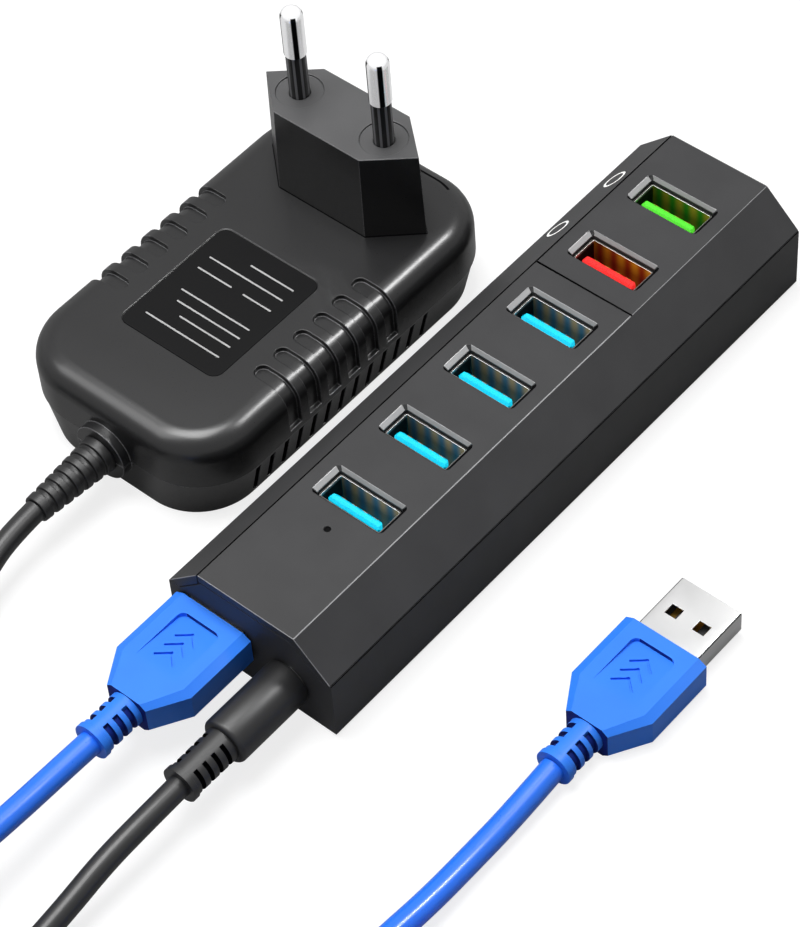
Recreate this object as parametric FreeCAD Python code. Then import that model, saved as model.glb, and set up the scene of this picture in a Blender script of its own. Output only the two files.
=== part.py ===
"""Powered six-port hub bar with its data cable and mains adapter, as separate pieces.

Units are millimetres. The frame stands on the centre of the hub's footprint: +X runs along the hub
away from its cables, +Y to the side of the trim rail and +Z up out of the ports.
"""
import FreeCAD
import Part
import math
import os

V = FreeCAD.Vector

# ---------------------------------------------------------------- hub case
service_length = 27.5
end_length = 13.3
roof_width = 20.44
side_height = 13.24
chamfer_across = 7.08
chamfer_down = 6.83
wall = 1.6
foot_proud = 0.5
seam = 0.2
parting = 0.1
rail_seam_offset = 0.02
cover_seam_offset = 0.1
lip_reach = 2.6
lip_thick = 1.0
lip_root = 1.2
lip_clear = 1.05
boss_sink = 0.64
past = 1.0
overcut = 0.01

# ---------------------------------------------------------------- ports
port_count = 6
port_pitch = 16.4
data_ports = 4
plug_side_clear = 0.25
plug_face_clear = 0.31
sheet = 0.3
port_clear = 0.15
recess_bevel_long = 0.8
recess_bevel_short = 0.48
recess_depth = 0.75
recess_corner = 0.9
rim_depth = 1.3
tongue_side_clear = 0.15
tongue_clear = 0.1
tongue_depth = 1.5
tongue_chamfer = 0.45
base_height = 3.5
insert_clear = 0.02
contact_start = 0.5
contact_stop = 0.4

# ---------------------------------------------------------------- board
board_under = 3.2
board_thick = 1.2
board_clear = 0.25
chip_size = 7.0
chip_height = 0.9
inductor_size = 6.0
inductor_height = 3.2
inductor_corner = 1.2
inductor_before_port = 6.3
inductor_y = 8.8
can_diameter = 4.6
can_height = 5.6
can_y = 10.2
crystal_length = 10.2
crystal_width = 4.4
crystal_height = 3.4
crystal_corner = 2.1
crystal_y = -10.4

# ---------------------------------------------------------------- upstream socket and power jack
upstream_y = 7.3
upstream_below_shoulder = 3.64
upstream_depth = 15.4
upstream_tongue_depth = 0.6
stand_width = 10.0
stand_gap = 3.0
socket_inset = 0.3
jack_y = -8.3
jack_z = 8.1
jack_width = 9.0
jack_length = 11.5
jack_roof = 0.2
barrel_diameter = 5.5
barrel_clear = 0.2
barrel_hole = 2.1
barrel_length = 9.5
barrel_end_gap = 0.6
barrel_wall = 0.6
jack_pin_clear = 0.075
jack_pin_inset = 1.2
spring_width = 1.8
spring_thick = 0.25
spring_clear = 0.2
spring_rise = 0.15

# ---------------------------------------------------------------- status light
light_before_port = 7.79
light_hole = 1.15
light_pipe_diameter = 2.4
light_pipe_sink = 0.25
led_length = 1.6
led_width = 0.8
led_height = 0.7

# ---------------------------------------------------------------- screws and feet
screw_before_port = 9.3
screw_after_port = 8.5
side_screw_y = -8.5
screw_diameter = 1.8
screw_clear = 0.25
screw_top = 12.0
head_diameter = 4.0
head_height = 1.2
head_sink = 0.2
cross_length = 2.8
cross_width = 0.5
cross_depth = 0.5
boss_diameter = 4.8
post_diameter = 6.2
post_root = 0.3
foot_diameter = 8.0
foot_clear = 0.05
foot_seat = 0.6
foot_from_end = 8.9
foot_from_side = 6.8

# ---------------------------------------------------------------- plugs of the data cable
shell_width = 12.0
shell_height = 4.5
shell_reach = 12.0
plug_root = 3.0
window_length = 2.2
window_width = 2.3
window_back = 6.3
window_spread = 5.5
grip_width = 16.1
grip_height = 6.8
grip_straight = 13.9
grip_taper = 6.4
grip_rear_width = 8.3
grip_chamfer_in = 1.6
grip_rear_chamfer_in = 1.088
grip_chamfer_down = 0.9
plug_gap = 0.4
contact_count = 4
contact_width = 1.0
contact_pitch = 2.25
contact_depth = 0.15
contact_tip_gap = 0.9
insulator_tip_gap = 0.3

# ---------------------------------------------------------------- flexible collars behind the plugs
boot_length = 8.4
boot_root_diameter = 6.4
boot_tip_diameter = 6.7
boot_slots = 3
dc_boot_length = 10.0
dc_boot_slots = 4
slot_width = 0.9
slot_height = 3.0
slot_wall = 0.35
boot_taper_step = 0.5
boot_ring = 1.0

# ---------------------------------------------------------------- power plug
dc_grip_diameter = 8.6
dc_grip_length = 15.4
dc_grip_chamfer = 0.8

# ---------------------------------------------------------------- cords and their put-away coils
data_cord = 4.3
power_cord = 4.0
coil_layers = 2
coil_pitch_clear = 0.05
data_coil_x = -106.0
data_coil_turns = 3.0
data_coil_mid = 22.5
power_coil_x = -107.0
power_coil_turns = 3.5
power_coil_mid = 23.0
power_lead_y = 39.1

# ---------------------------------------------------------------- free plug lying on the table
host_tip_x = -5.9
host_y = -49.5

# ---------------------------------------------------------------- mains adapter
adapter_length = 77.0
adapter_width = 46.0
adapter_height = 19.0
adapter_split = 8.6
adapter_corner = 12.5
adapter_edge = 4.5
adapter_wall = 2.2
adapter_side_draft = 2.4
adapter_end_draft = 0.8
adapter_rear_x = -44.8
pins_y = 47.5
pins_from_end = 14.2
pin_diameter = 4.0
pin_tip_flat = 0.4
sleeve_diameter = 3.6
pin_core = 3.0
pin_spacing = 19.0
pin_length = 19.0
sleeve_length = 9.0
sleeve_root = 1.0
pin_fit = 0.05
pin_tail = 6.0
boss_height = 18.0
boss_long = 34.5
boss_wide = 13.2
boss_flat = 19.2
boss_draft = 0.6
pin_dish_diameter = 8.4
pin_dish_depth = 0.4
label_length = 27.0
label_width = 22.6
label_depth = 0.25
label_corner = 2.0
label_offset = -9.0
notch_count = 6
notch_pitch = 4.95
notch_width = 2.9
notch_reach = 6.6
notch_depth = 0.9
notch_foot = 1.2
rib_slot_count = 13
rib_slot_pitch = 3.6
rib_slot_width = 1.1
rib_slot_depth = 0.9
rib_slot_foot = 0.8
rib_slot_head = 1.0
grip_offset = -4.0
collar_diameter = 10.8
collar_length = 1.8
relief_length = 15.4
relief_root = 7.2
relief_tip = 5.0
relief_neck = 5.6
relief_rings = 6
relief_groove = 0.9
relief_groove_depth = 0.5
relief_flange = 8.6
relief_flange_thick = 1.5
adapter_board_end = 10.0
adapter_board_side = 7.0
adapter_board_thick = 1.6
adapter_post = 3.0
adapter_post_height = 2.0
adapter_post_inset = 4.0
adapter_post_side = 3.0
core_length = 16.0
core_width = 16.0
core_roof_gap = 2.0
bobbin_diameter = 13.0
bobbin_roof_gap = 1.0
transformer_offset = -4.0
reservoir_diameter = 7.0
reservoir_length = 13.0
reservoir_spread = 18.0

# ---------------------------------------------------------------- values that follow
hub_length = service_length + (port_count - 1) * port_pitch + end_length
hub_width = roof_width + 2 * chamfer_across
hub_height = side_height + chamfer_down
half_length = hub_length / 2
half_width = hub_width / 2
front_x = -half_length
port_xs = [front_x + service_length + i * port_pitch for i in range(port_count)]
port_gap_xs = [x + port_pitch / 2 for x in port_xs]
cover_seam_x = port_gap_xs[data_ports - 1] + cover_seam_offset
rail_seam_y = roof_width / 2 - rail_seam_offset
board_top = board_under + board_thick
opening_long = shell_width + 2 * plug_side_clear
opening_short = shell_height + 2 * plug_face_clear
tongue_long = shell_width - 2 * sheet - 2 * tongue_side_clear
tongue_thick = shell_height / 2 - sheet - 2 * tongue_clear
lip_side = opening_long / 2 + sheet + lip_clear
light_x = port_xs[0] - light_before_port
data_screws = [(port_xs[0] - screw_before_port, side_screw_y), (port_gap_xs[2], 0)]
charging_screws = [(port_gap_xs[-2], 0), (port_xs[-1] + screw_after_port, 0)]
screw_places = data_screws + charging_screws
upstream_z = side_height - upstream_below_shoulder
jack_bore = barrel_diameter + 2 * barrel_clear
jack_pin_diameter = barrel_hole - 2 * jack_pin_clear
barrel_bore = barrel_diameter - 2 * barrel_wall
foot_x = half_length - foot_from_end
foot_y = half_width - foot_from_side
grip_front_x = front_x - plug_gap
data_pitch = data_cord + coil_pitch_clear
power_pitch = power_cord + coil_pitch_clear
data_coil_outer = data_coil_mid + data_coil_turns * data_pitch / 2
power_coil_outer = power_coil_mid + power_coil_turns * power_pitch / 2
adapter_x = adapter_rear_x + adapter_length / 2
pins_x = adapter_rear_x + adapter_length - pins_from_end
adapter_top_wall = adapter_height - adapter_wall
boss_top = adapter_height + boss_height
relief_tip_x = adapter_rear_x - collar_length - relief_length
host_grip_x = host_tip_x - shell_reach
host_z = grip_height / 2
data_lie = data_cord / 2
power_lie = power_cord / 2
hub_boot_tip_x = grip_front_x - grip_straight - grip_taper - boot_length
host_boot_tip_x = host_grip_x - grip_straight - grip_taper - boot_length
dc_boot_tip_x = grip_front_x - dc_grip_length - dc_boot_length

# ---------------------------------------------------------------- cord routes, point by point
hub_run_points = [
    (hub_boot_tip_x, upstream_y, upstream_z),
    (-98.5, 7.4, 9.7),
    (-107.0, 7.2, 10.2),
    (-118.6, 7.3, 10.9),
    (-130.1, 1.7, 11.2),
    (-138.1, -8.4, 11.2),
    (-141.0, -21.0, 8.6),
    (-138.1, -33.5, 5.0),
    (-130.5, -43.5, 2.8),
    (-121.2, -48.6, data_lie),
    (-113.3, -50.1, data_lie),
    (data_coil_x, host_y, data_lie),
]
host_run_points = [
    (data_coil_x, host_y, data_lie + data_cord),
    (-97.0, -49.9, 6.0),
    (-87.0, -49.7, 4.6),
    (-77.0, -49.9, 3.3),
    (-67.0, -49.7, 2.6),
    (-56.6, -49.8, 2.8),
    (host_boot_tip_x, host_y, host_z),
]
plug_run_points = [
    (dc_boot_tip_x, jack_y, jack_z),
    (-95.6, -8.4, 8.0),
    (-104.2, -8.2, 7.1),
    (-113.0, -8.4, 5.3),
    (-123.4, -8.2, 3.2),
    (-132.9, -3.6, power_lie + 0.15),
    (-139.6, 4.9, power_lie),
    (-141.9, 15.4, power_lie),
    (-139.5, 26.0, power_lie),
    (-132.8, 34.3, power_lie),
    (-123.4, 38.9, power_lie),
    (-113.6, 39.4, power_lie),
    (power_coil_x, power_lead_y, power_lie),
]
adapter_run_points = [
    (power_coil_x, power_lead_y, power_lie + power_cord),
    (-97.0, 39.5, 5.9),
    (-86.0, 42.3, 6.2),
    (-76.0, 45.9, 7.2),
    (-69.0, 47.3, 8.2),
    (relief_tip_x, pins_y, adapter_split),
]
data_coil_y = host_y - data_coil_outer
power_coil_y = power_lead_y + power_coil_outer


# ---------------------------------------------------------------- shape helpers
def box(x0, x1, y0, y1, z0, z1):
    """A block between two corners."""
    return Part.makeBox(x1 - x0, y1 - y0, z1 - z0, V(x0, y0, z0))


def rod(diameter, start, end):
    """A round bar from one point to another."""
    a, b = V(*start), V(*end)
    return Part.makeCylinder(diameter / 2, (b - a).Length, a, b - a)


def taper_rod(diameter_a, diameter_b, start, end):
    """A cone frustum from one point to another."""
    a, b = V(*start), V(*end)
    return Part.makeCone(diameter_a / 2, diameter_b / 2, (b - a).Length, a, b - a)


def loop(points):
    """A closed wire of straight edges through (x, y, z) points."""
    return Part.makePolygon([V(*p) for p in points] + [V(*points[0])])


def prism_x(section, x0, x1):
    """A solid with one (y, z) section along X."""
    face = Part.Face(loop([(x0, y, z) for y, z in section]))
    return face.extrude(V(x1 - x0, 0, 0))


def prism_z(outline, z0, z1):
    """A solid with one (x, y) outline along Z."""
    face = Part.Face(loop([(x, y, z0) for x, y in outline]))
    return face.extrude(V(0, 0, z1 - z0))


def rounded_loop(cx, cy, z, length, width, corner):
    """A level rectangle with round corners, as a wire."""
    hx, hy, k = length / 2, width / 2, corner * (1 - math.sqrt(0.5))
    sides = [
        ((hx - corner, -hy), (hx - k, -hy + k), (hx, -hy + corner), (hx, hy - corner)),
        ((hx, hy - corner), (hx - k, hy - k), (hx - corner, hy), (-hx + corner, hy)),
        ((-hx + corner, hy), (-hx + k, hy - k), (-hx, hy - corner), (-hx, -hy + corner)),
        ((-hx, -hy + corner), (-hx + k, -hy + k), (-hx + corner, -hy), (hx - corner, -hy)),
    ]
    edges = []
    for start, middle, end, after in sides:
        a, m, b, c = (V(cx + x, cy + y, z) for x, y in (start, middle, end, after))
        edges.append(Part.Arc(a, m, b).toShape())
        edges.append(Part.LineSegment(b, c).toShape())
    return Part.Wire(edges)


def rounded_slab(cx, cy, z0, z1, length, width, corner):
    """A level plate with round corners."""
    wire = rounded_loop(cx, cy, z0, length, width, corner)
    return Part.Face(wire).extrude(V(0, 0, z1 - z0))


def drafted_slab(low, high):
    """A solid between two level wires of the same make."""
    return Part.makeLoft([low, high], True, True)


def save(node, *solids):
    """Write one node of one or several solids."""
    shape = solids[0] if len(solids) == 1 else Part.makeCompound(list(solids))
    shape.exportStep(os.path.join("parts", node + ".step"))


# ---------------------------------------------------------------- hub case
def hub_section(inset):
    """The six-cornered (y, z) section of the hub, moved inwards by inset."""
    slant = inset * math.hypot(chamfer_across, chamfer_down) / chamfer_across
    side = half_width - inset
    low = foot_proud + inset
    high = hub_height - inset
    side_top = side_height + inset * chamfer_down / chamfer_across - slant
    top_side = half_width - (high - side_height + slant) * chamfer_across / chamfer_down
    return [(-side, low), (side, low), (side, side_top), (top_side, high),
            (-top_side, high), (-side, side_top)]


def skin():
    """The whole roof of the hub above its shoulders, before it is cut into covers."""
    outer = prism_x(hub_section(0), front_x, half_length)
    inner = prism_x(hub_section(wall), front_x, half_length)
    above = box(front_x, half_length, -half_width, half_width, side_height + parting, hub_height)
    return outer.cut(inner).common(above)


def port_hole(x):
    """The opening for one port: a bevelled recess over a straight hole."""
    long_hole = opening_long + 2 * sheet + 2 * port_clear
    short_hole = opening_short + 2 * sheet + 2 * port_clear
    seat_z = hub_height - recess_depth
    bevel = drafted_slab(
        rounded_loop(x, 0, seat_z, short_hole, long_hole, recess_corner / 2),
        rounded_loop(x, 0, hub_height, short_hole + 2 * recess_bevel_short,
                     long_hole + 2 * recess_bevel_long, recess_corner))
    hole = rounded_slab(x, 0, hub_height - 2 * wall, seat_z + overcut, short_hole, long_hole,
                        recess_corner / 2)
    return bevel.fuse(hole)


def cover_boss(x, y):
    """A screw boss hanging from a cover down to the board, with its pilot bore."""
    root = wall - boss_sink
    boss = rod(boss_diameter, (x, y, board_top + parting), (x, y, hub_height - root))
    boss = boss.common(prism_x(hub_section(root), front_x, half_length))
    bore = rod(screw_diameter + 2 * pin_fit, (x, y, board_top), (x, y, screw_top + past))
    return boss.cut(bore)


def cover(x0, x1, ports, screws):
    """One roof piece between two stations, with its port openings and screw bosses."""
    zone = box(x0, x1, -half_width, rail_seam_y - seam / 2, side_height, hub_height)
    body = skin().common(zone)
    for x, y in screws:
        body = body.fuse(cover_boss(x, y))
    for x in ports:
        body = body.cut(port_hole(x))
    return body


def build_covers():
    """The data cover with its light hole and joint lip, the charging cover and the trim rail."""
    data = cover(front_x, cover_seam_x - seam / 2, port_xs[:data_ports], data_screws)
    data = data.cut(rod(light_hole, (light_x, 0, hub_height - 2 * wall),
                        (light_x, 0, hub_height + past)))
    lip_top = hub_height - wall - parting
    lip_low = lip_top - lip_thick
    half_lip = lip_side - lip_clear - port_clear
    lip = box(cover_seam_x - lip_root, cover_seam_x + lip_reach, -half_lip, half_lip, lip_low, lip_top)
    root = box(cover_seam_x - lip_root, cover_seam_x - seam / 2, -half_lip, half_lip,
               lip_low, hub_height - wall / 2)
    save("data_port_cover", data.fuse(lip).fuse(root))
    save("charging_port_cover",
         cover(cover_seam_x + seam / 2, half_length, port_xs[data_ports:], charging_screws))
    side_zone = box(front_x, half_length, rail_seam_y + seam / 2, half_width, side_height, hub_height)
    lip_x0, lip_x1 = front_x + wall + past, half_length - wall - past
    rail_lip = box(lip_x0, lip_x1, lip_side, rail_seam_y + lip_thick, lip_low, lip_top)
    rail_lip = rail_lip.common(prism_x(hub_section(wall + parting), front_x, half_length))
    root = box(lip_x0, lip_x1, rail_seam_y + seam / 2, rail_seam_y + lip_thick, lip_low, hub_height)
    root = root.common(prism_x(hub_section(wall / 2), front_x, half_length))
    save("left_trim_rail", skin().common(side_zone).fuse([rail_lip, root]))


def build_lower_shell():
    """The tray under the roof, with its end walls, screw posts, foot seats and socket windows."""
    outer = prism_x(hub_section(0), front_x, half_length)
    tray = outer.common(box(front_x, half_length, -half_width, half_width, 0, side_height))
    ends = prism_x(hub_section(wall + parting), front_x, half_length)
    shell = tray.fuse(ends).cut(prism_x(hub_section(wall), front_x + wall, half_length - wall))
    for x, y in screw_places:
        shell = shell.fuse(rod(post_diameter, (x, y, foot_proud + post_root), (x, y, board_under)))
    for x, y in screw_places:
        seat_top = foot_proud + head_sink + head_height
        shell = shell.cut(rod(head_diameter + 2 * screw_clear, (x, y, 0), (x, y, seat_top)))
        shell = shell.cut(rod(screw_diameter + 2 * screw_clear, (x, y, 0), (x, y, board_top)))
    for x, y in foot_places():
        shell = shell.cut(rod(foot_diameter + 2 * foot_clear, (x, y, 0), (x, y, foot_proud + foot_seat)))
    window_half = opening_long / 2 + sheet + port_clear
    window_rise = opening_short / 2 + sheet + port_clear
    shell = shell.cut(box(front_x - past, front_x + wall + past, upstream_y - window_half,
                          upstream_y + window_half, upstream_z - window_rise, upstream_z + window_rise))
    shell = shell.cut(rod(jack_bore + 2 * barrel_clear, (front_x - past, jack_y, jack_z),
                          (front_x + wall + past, jack_y, jack_z)))
    save("lower_shell", shell)


def foot_places():
    """The centres of the four feet."""
    return [(sx * foot_x, sy * foot_y) for sx in (-1, 1) for sy in (-1, 1)]


def build_feet_and_screws():
    """The four rubber feet, and the screws that hold the roof down through the board."""
    save("rubber_feet", *[rod(foot_diameter, (x, y, 0), (x, y, foot_proud + foot_seat))
                          for x, y in foot_places()])
    screws = []
    for x, y in screw_places:
        under = foot_proud + head_sink
        head = rod(head_diameter, (x, y, under), (x, y, under + head_height))
        slot = box(x - cross_length / 2, x + cross_length / 2, y - cross_width / 2,
                   y + cross_width / 2, under, under + cross_depth)
        cross = box(x - cross_width / 2, x + cross_width / 2, y - cross_length / 2,
                    y + cross_length / 2, under, under + cross_depth)
        shank = rod(screw_diameter, (x, y, under + head_height), (x, y, screw_top))
        screws.append(head.fuse(shank).cut(slot).cut(cross))
    save("shell_screws", *screws)


# ---------------------------------------------------------------- ports
def receptacle_shell(depth):
    """The folded metal tube of a socket. Its mouth faces +Z at the origin, its long side lies on Y."""
    half_u, half_v = opening_short / 2, opening_long / 2
    outer = box(-half_u - sheet, half_u + sheet, -half_v - sheet, half_v + sheet, -depth, 0)
    return outer.cut(box(-half_u, half_u, -half_v, half_v, -depth - past, past))


def contact_rows():
    """The places of the contact strips across a plug or a socket."""
    return [(i - (contact_count - 1) / 2) * contact_pitch for i in range(contact_count)]


def receptacle_tongue(depth, tongue_top):
    """The moulded insulator: a base that fills the tube's foot, and the tongue with its grooves."""
    half_u, half_v = opening_short / 2 - insert_clear, opening_long / 2 - insert_clear
    base = box(-half_u, half_u, -half_v, half_v, -depth, -depth + base_height)
    face = -tongue_clear
    tongue = box(face - tongue_thick, face, -tongue_long / 2, tongue_long / 2,
                 -depth + base_height - overcut, -tongue_top)
    rim = [e for e in tongue.Edges if all(abs(v.Z + tongue_top) < overcut for v in e.Vertexes)]
    tongue = tongue.makeChamfer(tongue_chamfer, rim)
    body = base.fuse(tongue)
    for strip in receptacle_contacts(depth, tongue_top):
        body = body.cut(strip)
    return body


def receptacle_contacts(depth, tongue_top):
    """The contact strips on the inner face of the tongue."""
    face, half = -tongue_clear, contact_width / 2
    return [box(face - contact_depth, face, v - half, v + half, -depth + contact_start,
                -tongue_top - tongue_chamfer - contact_stop) for v in contact_rows()]


def placed(shape, rotation, place):
    """A copy of a shape, turned and then moved."""
    copy = shape.copy()
    copy.Placement = FreeCAD.Placement(V(*place), rotation)
    return copy


UPRIGHT = FreeCAD.Rotation()
FACING_FRONT = FreeCAD.Rotation(V(1, 0, 0), 180).multiply(FreeCAD.Rotation(V(0, 1, 0), -90))


def build_ports():
    """Six upright sockets on the board, and the sideways one for the data cable."""
    mouth_z = hub_height - rim_depth
    depth = mouth_z - board_top
    tongue_top = tongue_depth - rim_depth
    shell = receptacle_shell(depth)
    tongue = receptacle_tongue(depth, tongue_top)
    contacts = []
    for i, x in enumerate(port_xs):
        place = (x, 0, mouth_z)
        save("port_shell_%d" % (i + 1), placed(shell, UPRIGHT, place))
        save("port_tongue_%d" % (i + 1), placed(tongue, UPRIGHT, place))
        contacts += [placed(c, UPRIGHT, place) for c in receptacle_contacts(depth, tongue_top)]
    save("port_contacts", *contacts)

    mouth = (front_x + socket_inset, upstream_y, upstream_z)
    save("upstream_shell", placed(receptacle_shell(upstream_depth), FACING_FRONT, mouth))
    under = upstream_z - opening_short / 2 - sheet
    stand = box(front_x + wall + stand_gap, front_x + upstream_depth, upstream_y - stand_width / 2,
                upstream_y + stand_width / 2, board_top, under)
    tongue = receptacle_tongue(upstream_depth, upstream_tongue_depth)
    save("upstream_tongue", placed(tongue, FACING_FRONT, mouth), stand)
    save("upstream_contacts", *[placed(c, FACING_FRONT, mouth)
                                for c in receptacle_contacts(upstream_depth, upstream_tongue_depth)])


# ---------------------------------------------------------------- board and its parts
def build_board():
    """The circuit board and what is soldered to it between the ports."""
    side = half_width - wall - board_clear
    end = half_length - wall - board_clear
    board = box(-end, end, -side, side, board_under, board_top)
    for x, y in screw_places:
        board = board.cut(rod(screw_diameter + 2 * screw_clear, (x, y, 0), (x, y, hub_height)))
    save("main_board", board)
    chips = []
    for x in (port_gap_xs[0], port_gap_xs[1], port_gap_xs[3]):
        chips.append(box(x - chip_size / 2, x + chip_size / 2, -chip_size / 2, chip_size / 2,
                         board_top, board_top + chip_height))
    save("controller_chips", *chips)
    save("power_inductor",
         rounded_slab(port_xs[0] - inductor_before_port, inductor_y, board_top,
                      board_top + inductor_height, inductor_size, inductor_size, inductor_corner))
    save("filter_capacitors", *[rod(can_diameter, (x, can_y, board_top), (x, can_y, board_top + can_height))
                                for x in port_gap_xs[1:5]])
    save("clock_crystal",
         rounded_slab(port_gap_xs[1], crystal_y, board_top, board_top + crystal_height,
                      crystal_length, crystal_width, crystal_corner))


def build_light():
    """The status light on the board, and the clear pipe that carries it to the roof."""
    led_top = board_top + led_height
    save("status_led", box(light_x - led_length / 2, light_x + led_length / 2, -led_width / 2,
                           led_width / 2, board_top, led_top))
    pipe = rod(light_pipe_diameter, (light_x, 0, led_top + parting),
               (light_x, 0, hub_height - wall - parting))
    tip = rod(light_hole - 2 * pin_fit, (light_x, 0, led_top + 2 * parting),
              (light_x, 0, hub_height - light_pipe_sink))
    save("light_pipe", pipe.fuse(tip))


def build_jack():
    """The power jack: moulded housing, centre pin and leaf spring."""
    back = front_x + wall + parting
    end = back + jack_length
    high = jack_z + jack_width / 2 - jack_roof
    bore_end = grip_front_x + barrel_length + barrel_end_gap
    bore = rod(jack_bore, (back - past, jack_y, jack_z), (bore_end, jack_y, jack_z))
    pin = rod(jack_pin_diameter, (front_x + jack_pin_inset, jack_y, jack_z), (end, jack_y, jack_z))
    housing = box(back, end, jack_y - jack_width / 2, jack_y + jack_width / 2, board_top, high)
    spring_x0, spring_x1 = back + jack_pin_inset, bore_end - spring_clear
    spring_low = jack_z + barrel_diameter / 2 + spring_rise
    half_spring = spring_width / 2
    slot = box(spring_x0 - spring_clear, bore_end, jack_y - half_spring - spring_clear,
               jack_y + half_spring + spring_clear, jack_z, high + past)
    leaf = box(spring_x0, spring_x1, jack_y - half_spring, jack_y + half_spring, spring_low,
               spring_low + spring_thick)
    foot = box(spring_x1 - spring_thick, spring_x1, jack_y - half_spring, jack_y + half_spring,
               spring_low, high)
    save("dc_jack_housing", housing.cut(bore).cut(slot).cut(pin))
    save("dc_jack_pin", pin)
    save("dc_jack_spring", leaf.fuse(foot))


# ---------------------------------------------------------------- plugs
def plug_shell(front, y, z):
    """The folded metal tube of a plug with its latch windows. Its root sits inside the grip."""
    root, tip = front - plug_root, front + shell_reach
    hw, hh = shell_width / 2, shell_height / 2
    tube = box(root, tip, y - hw, y + hw, z - hh, z + hh)
    tube = tube.cut(box(root - past, tip + past, y - hw + sheet, y + hw - sheet,
                        z - hh + sheet, z + hh - sheet))
    for side in (-1, 1):
        wy = y + side * window_spread / 2
        wx = tip - window_back
        tube = tube.cut(box(wx - window_length / 2, wx + window_length / 2,
                            wy - window_width / 2, wy + window_width / 2,
                            z - hh - past, z + hh + past))
    return tube


def plug_contacts(front, y, z):
    """The flat contact strips on the plug's insulator."""
    half = contact_width / 2
    return [box(front + contact_start, front + shell_reach - contact_tip_gap, y + v - half,
                y + v + half, z - contact_depth, z) for v in contact_rows()]


def plug_insulator(front, y, z):
    """The moulded half tongue in the plug's tube, with its contact grooves."""
    hw = shell_width / 2 - sheet - insert_clear
    low = z - shell_height / 2 + sheet + insert_clear
    body = box(front - plug_root, front + shell_reach - insulator_tip_gap, y - hw, y + hw, low, z)
    for strip in plug_contacts(front, y, z):
        body = body.cut(strip)
    return body


def grip_outline(front, y, inset, rear_inset):
    """The (x, y) outline of a plug's grip, drawn in at its sides and at its rear."""
    half, rear = grip_width / 2 - inset, grip_rear_width / 2 - rear_inset
    shoulder = front - grip_straight
    end = shoulder - grip_taper
    return [(front, y - half), (front, y + half), (shoulder, y + half), (end, y + rear),
            (end, y - rear), (shoulder, y - half)]


def plug_grip(front, y, z):
    """The moulded grip of a plug: straight, then tapering, with bevelled long edges."""
    low, high = z - grip_height / 2, z + grip_height / 2
    wide = grip_outline(front, y, 0, 0)
    narrow = grip_outline(front, y, grip_chamfer_in, grip_rear_chamfer_in)
    levels = [(low, narrow), (low + grip_chamfer_down, wide), (high - grip_chamfer_down, wide),
              (high, narrow)]
    wires = [loop([(px, py, level) for px, py in outline]) for level, outline in levels]
    solid = drafted_slab(wires[0], wires[1])
    solid = solid.fuse([drafted_slab(wires[1], wires[2]), drafted_slab(wires[2], wires[3])])
    seat = box(front - plug_root, front + past, y - shell_width / 2, y + shell_width / 2,
               z - shell_height / 2, z + shell_height / 2)
    return solid.removeSplitter().cut(seat)


def slotted_boot(root_x, tip_x, y, z, slots, cord):
    """A bend relief with rows of side slots between round rings."""
    ring_x = tip_x + boot_ring
    body = taper_rod(boot_root_diameter, boot_tip_diameter - boot_taper_step, (root_x, y, z),
                     (ring_x, y, z))
    body = body.fuse(rod(boot_tip_diameter, (ring_x, y, z), (tip_x, y, z)))
    pitch = (root_x - ring_x) / (slots + 0.5)
    core = cord / 2 + slot_wall
    for i in range(slots):
        x = ring_x + pitch * (i + 0.5)
        for side in (-1, 1):
            near, far = sorted((y + side * core, y + side * boot_tip_diameter))
            body = body.cut(box(x, x + slot_width, near, far, z - slot_height / 2, z + slot_height / 2))
    return body


def build_data_plug(prefix, front, y, z):
    """Grip, tube, insulator, contacts and bend relief of one plug of the data cable."""
    grip_end = front - grip_straight - grip_taper
    save(prefix + "_grip", plug_grip(front, y, z))
    save(prefix + "_shell", plug_shell(front, y, z))
    save(prefix + "_insulator", plug_insulator(front, y, z))
    save(prefix + "_contacts", *plug_contacts(front, y, z))
    save(prefix + "_boot", slotted_boot(grip_end, grip_end - boot_length, y, z, boot_slots, data_cord))


def build_power_plug():
    """The round power plug: grip, barrel, inner sleeve and bend relief."""
    front = grip_front_x
    end = front - dc_grip_length
    grip = rod(dc_grip_diameter, (front, jack_y, jack_z), (end, jack_y, jack_z))
    rim = [e for e in grip.Edges if abs(e.BoundBox.XMax - end) < overcut]
    grip = grip.makeChamfer(dc_grip_chamfer, rim)
    seat = rod(barrel_diameter, (front - plug_root, jack_y, jack_z), (front + past, jack_y, jack_z))
    save("dc_plug_grip", grip.cut(seat))
    tip = front + barrel_length
    root = front - plug_root
    bore = rod(barrel_bore, (root - past, jack_y, jack_z), (tip + past, jack_y, jack_z))
    barrel = rod(barrel_diameter, (root, jack_y, jack_z), (tip, jack_y, jack_z)).cut(bore)
    save("dc_plug_barrel", barrel)
    sleeve = rod(barrel_bore, (root, jack_y, jack_z), (tip - insulator_tip_gap, jack_y, jack_z))
    hole = rod(barrel_hole, (root + past, jack_y, jack_z), (tip + past, jack_y, jack_z))
    save("dc_plug_insulator", sleeve.cut(hole))
    save("dc_plug_boot", slotted_boot(end, end - dc_boot_length, jack_y, jack_z, dc_boot_slots, power_cord))


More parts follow.
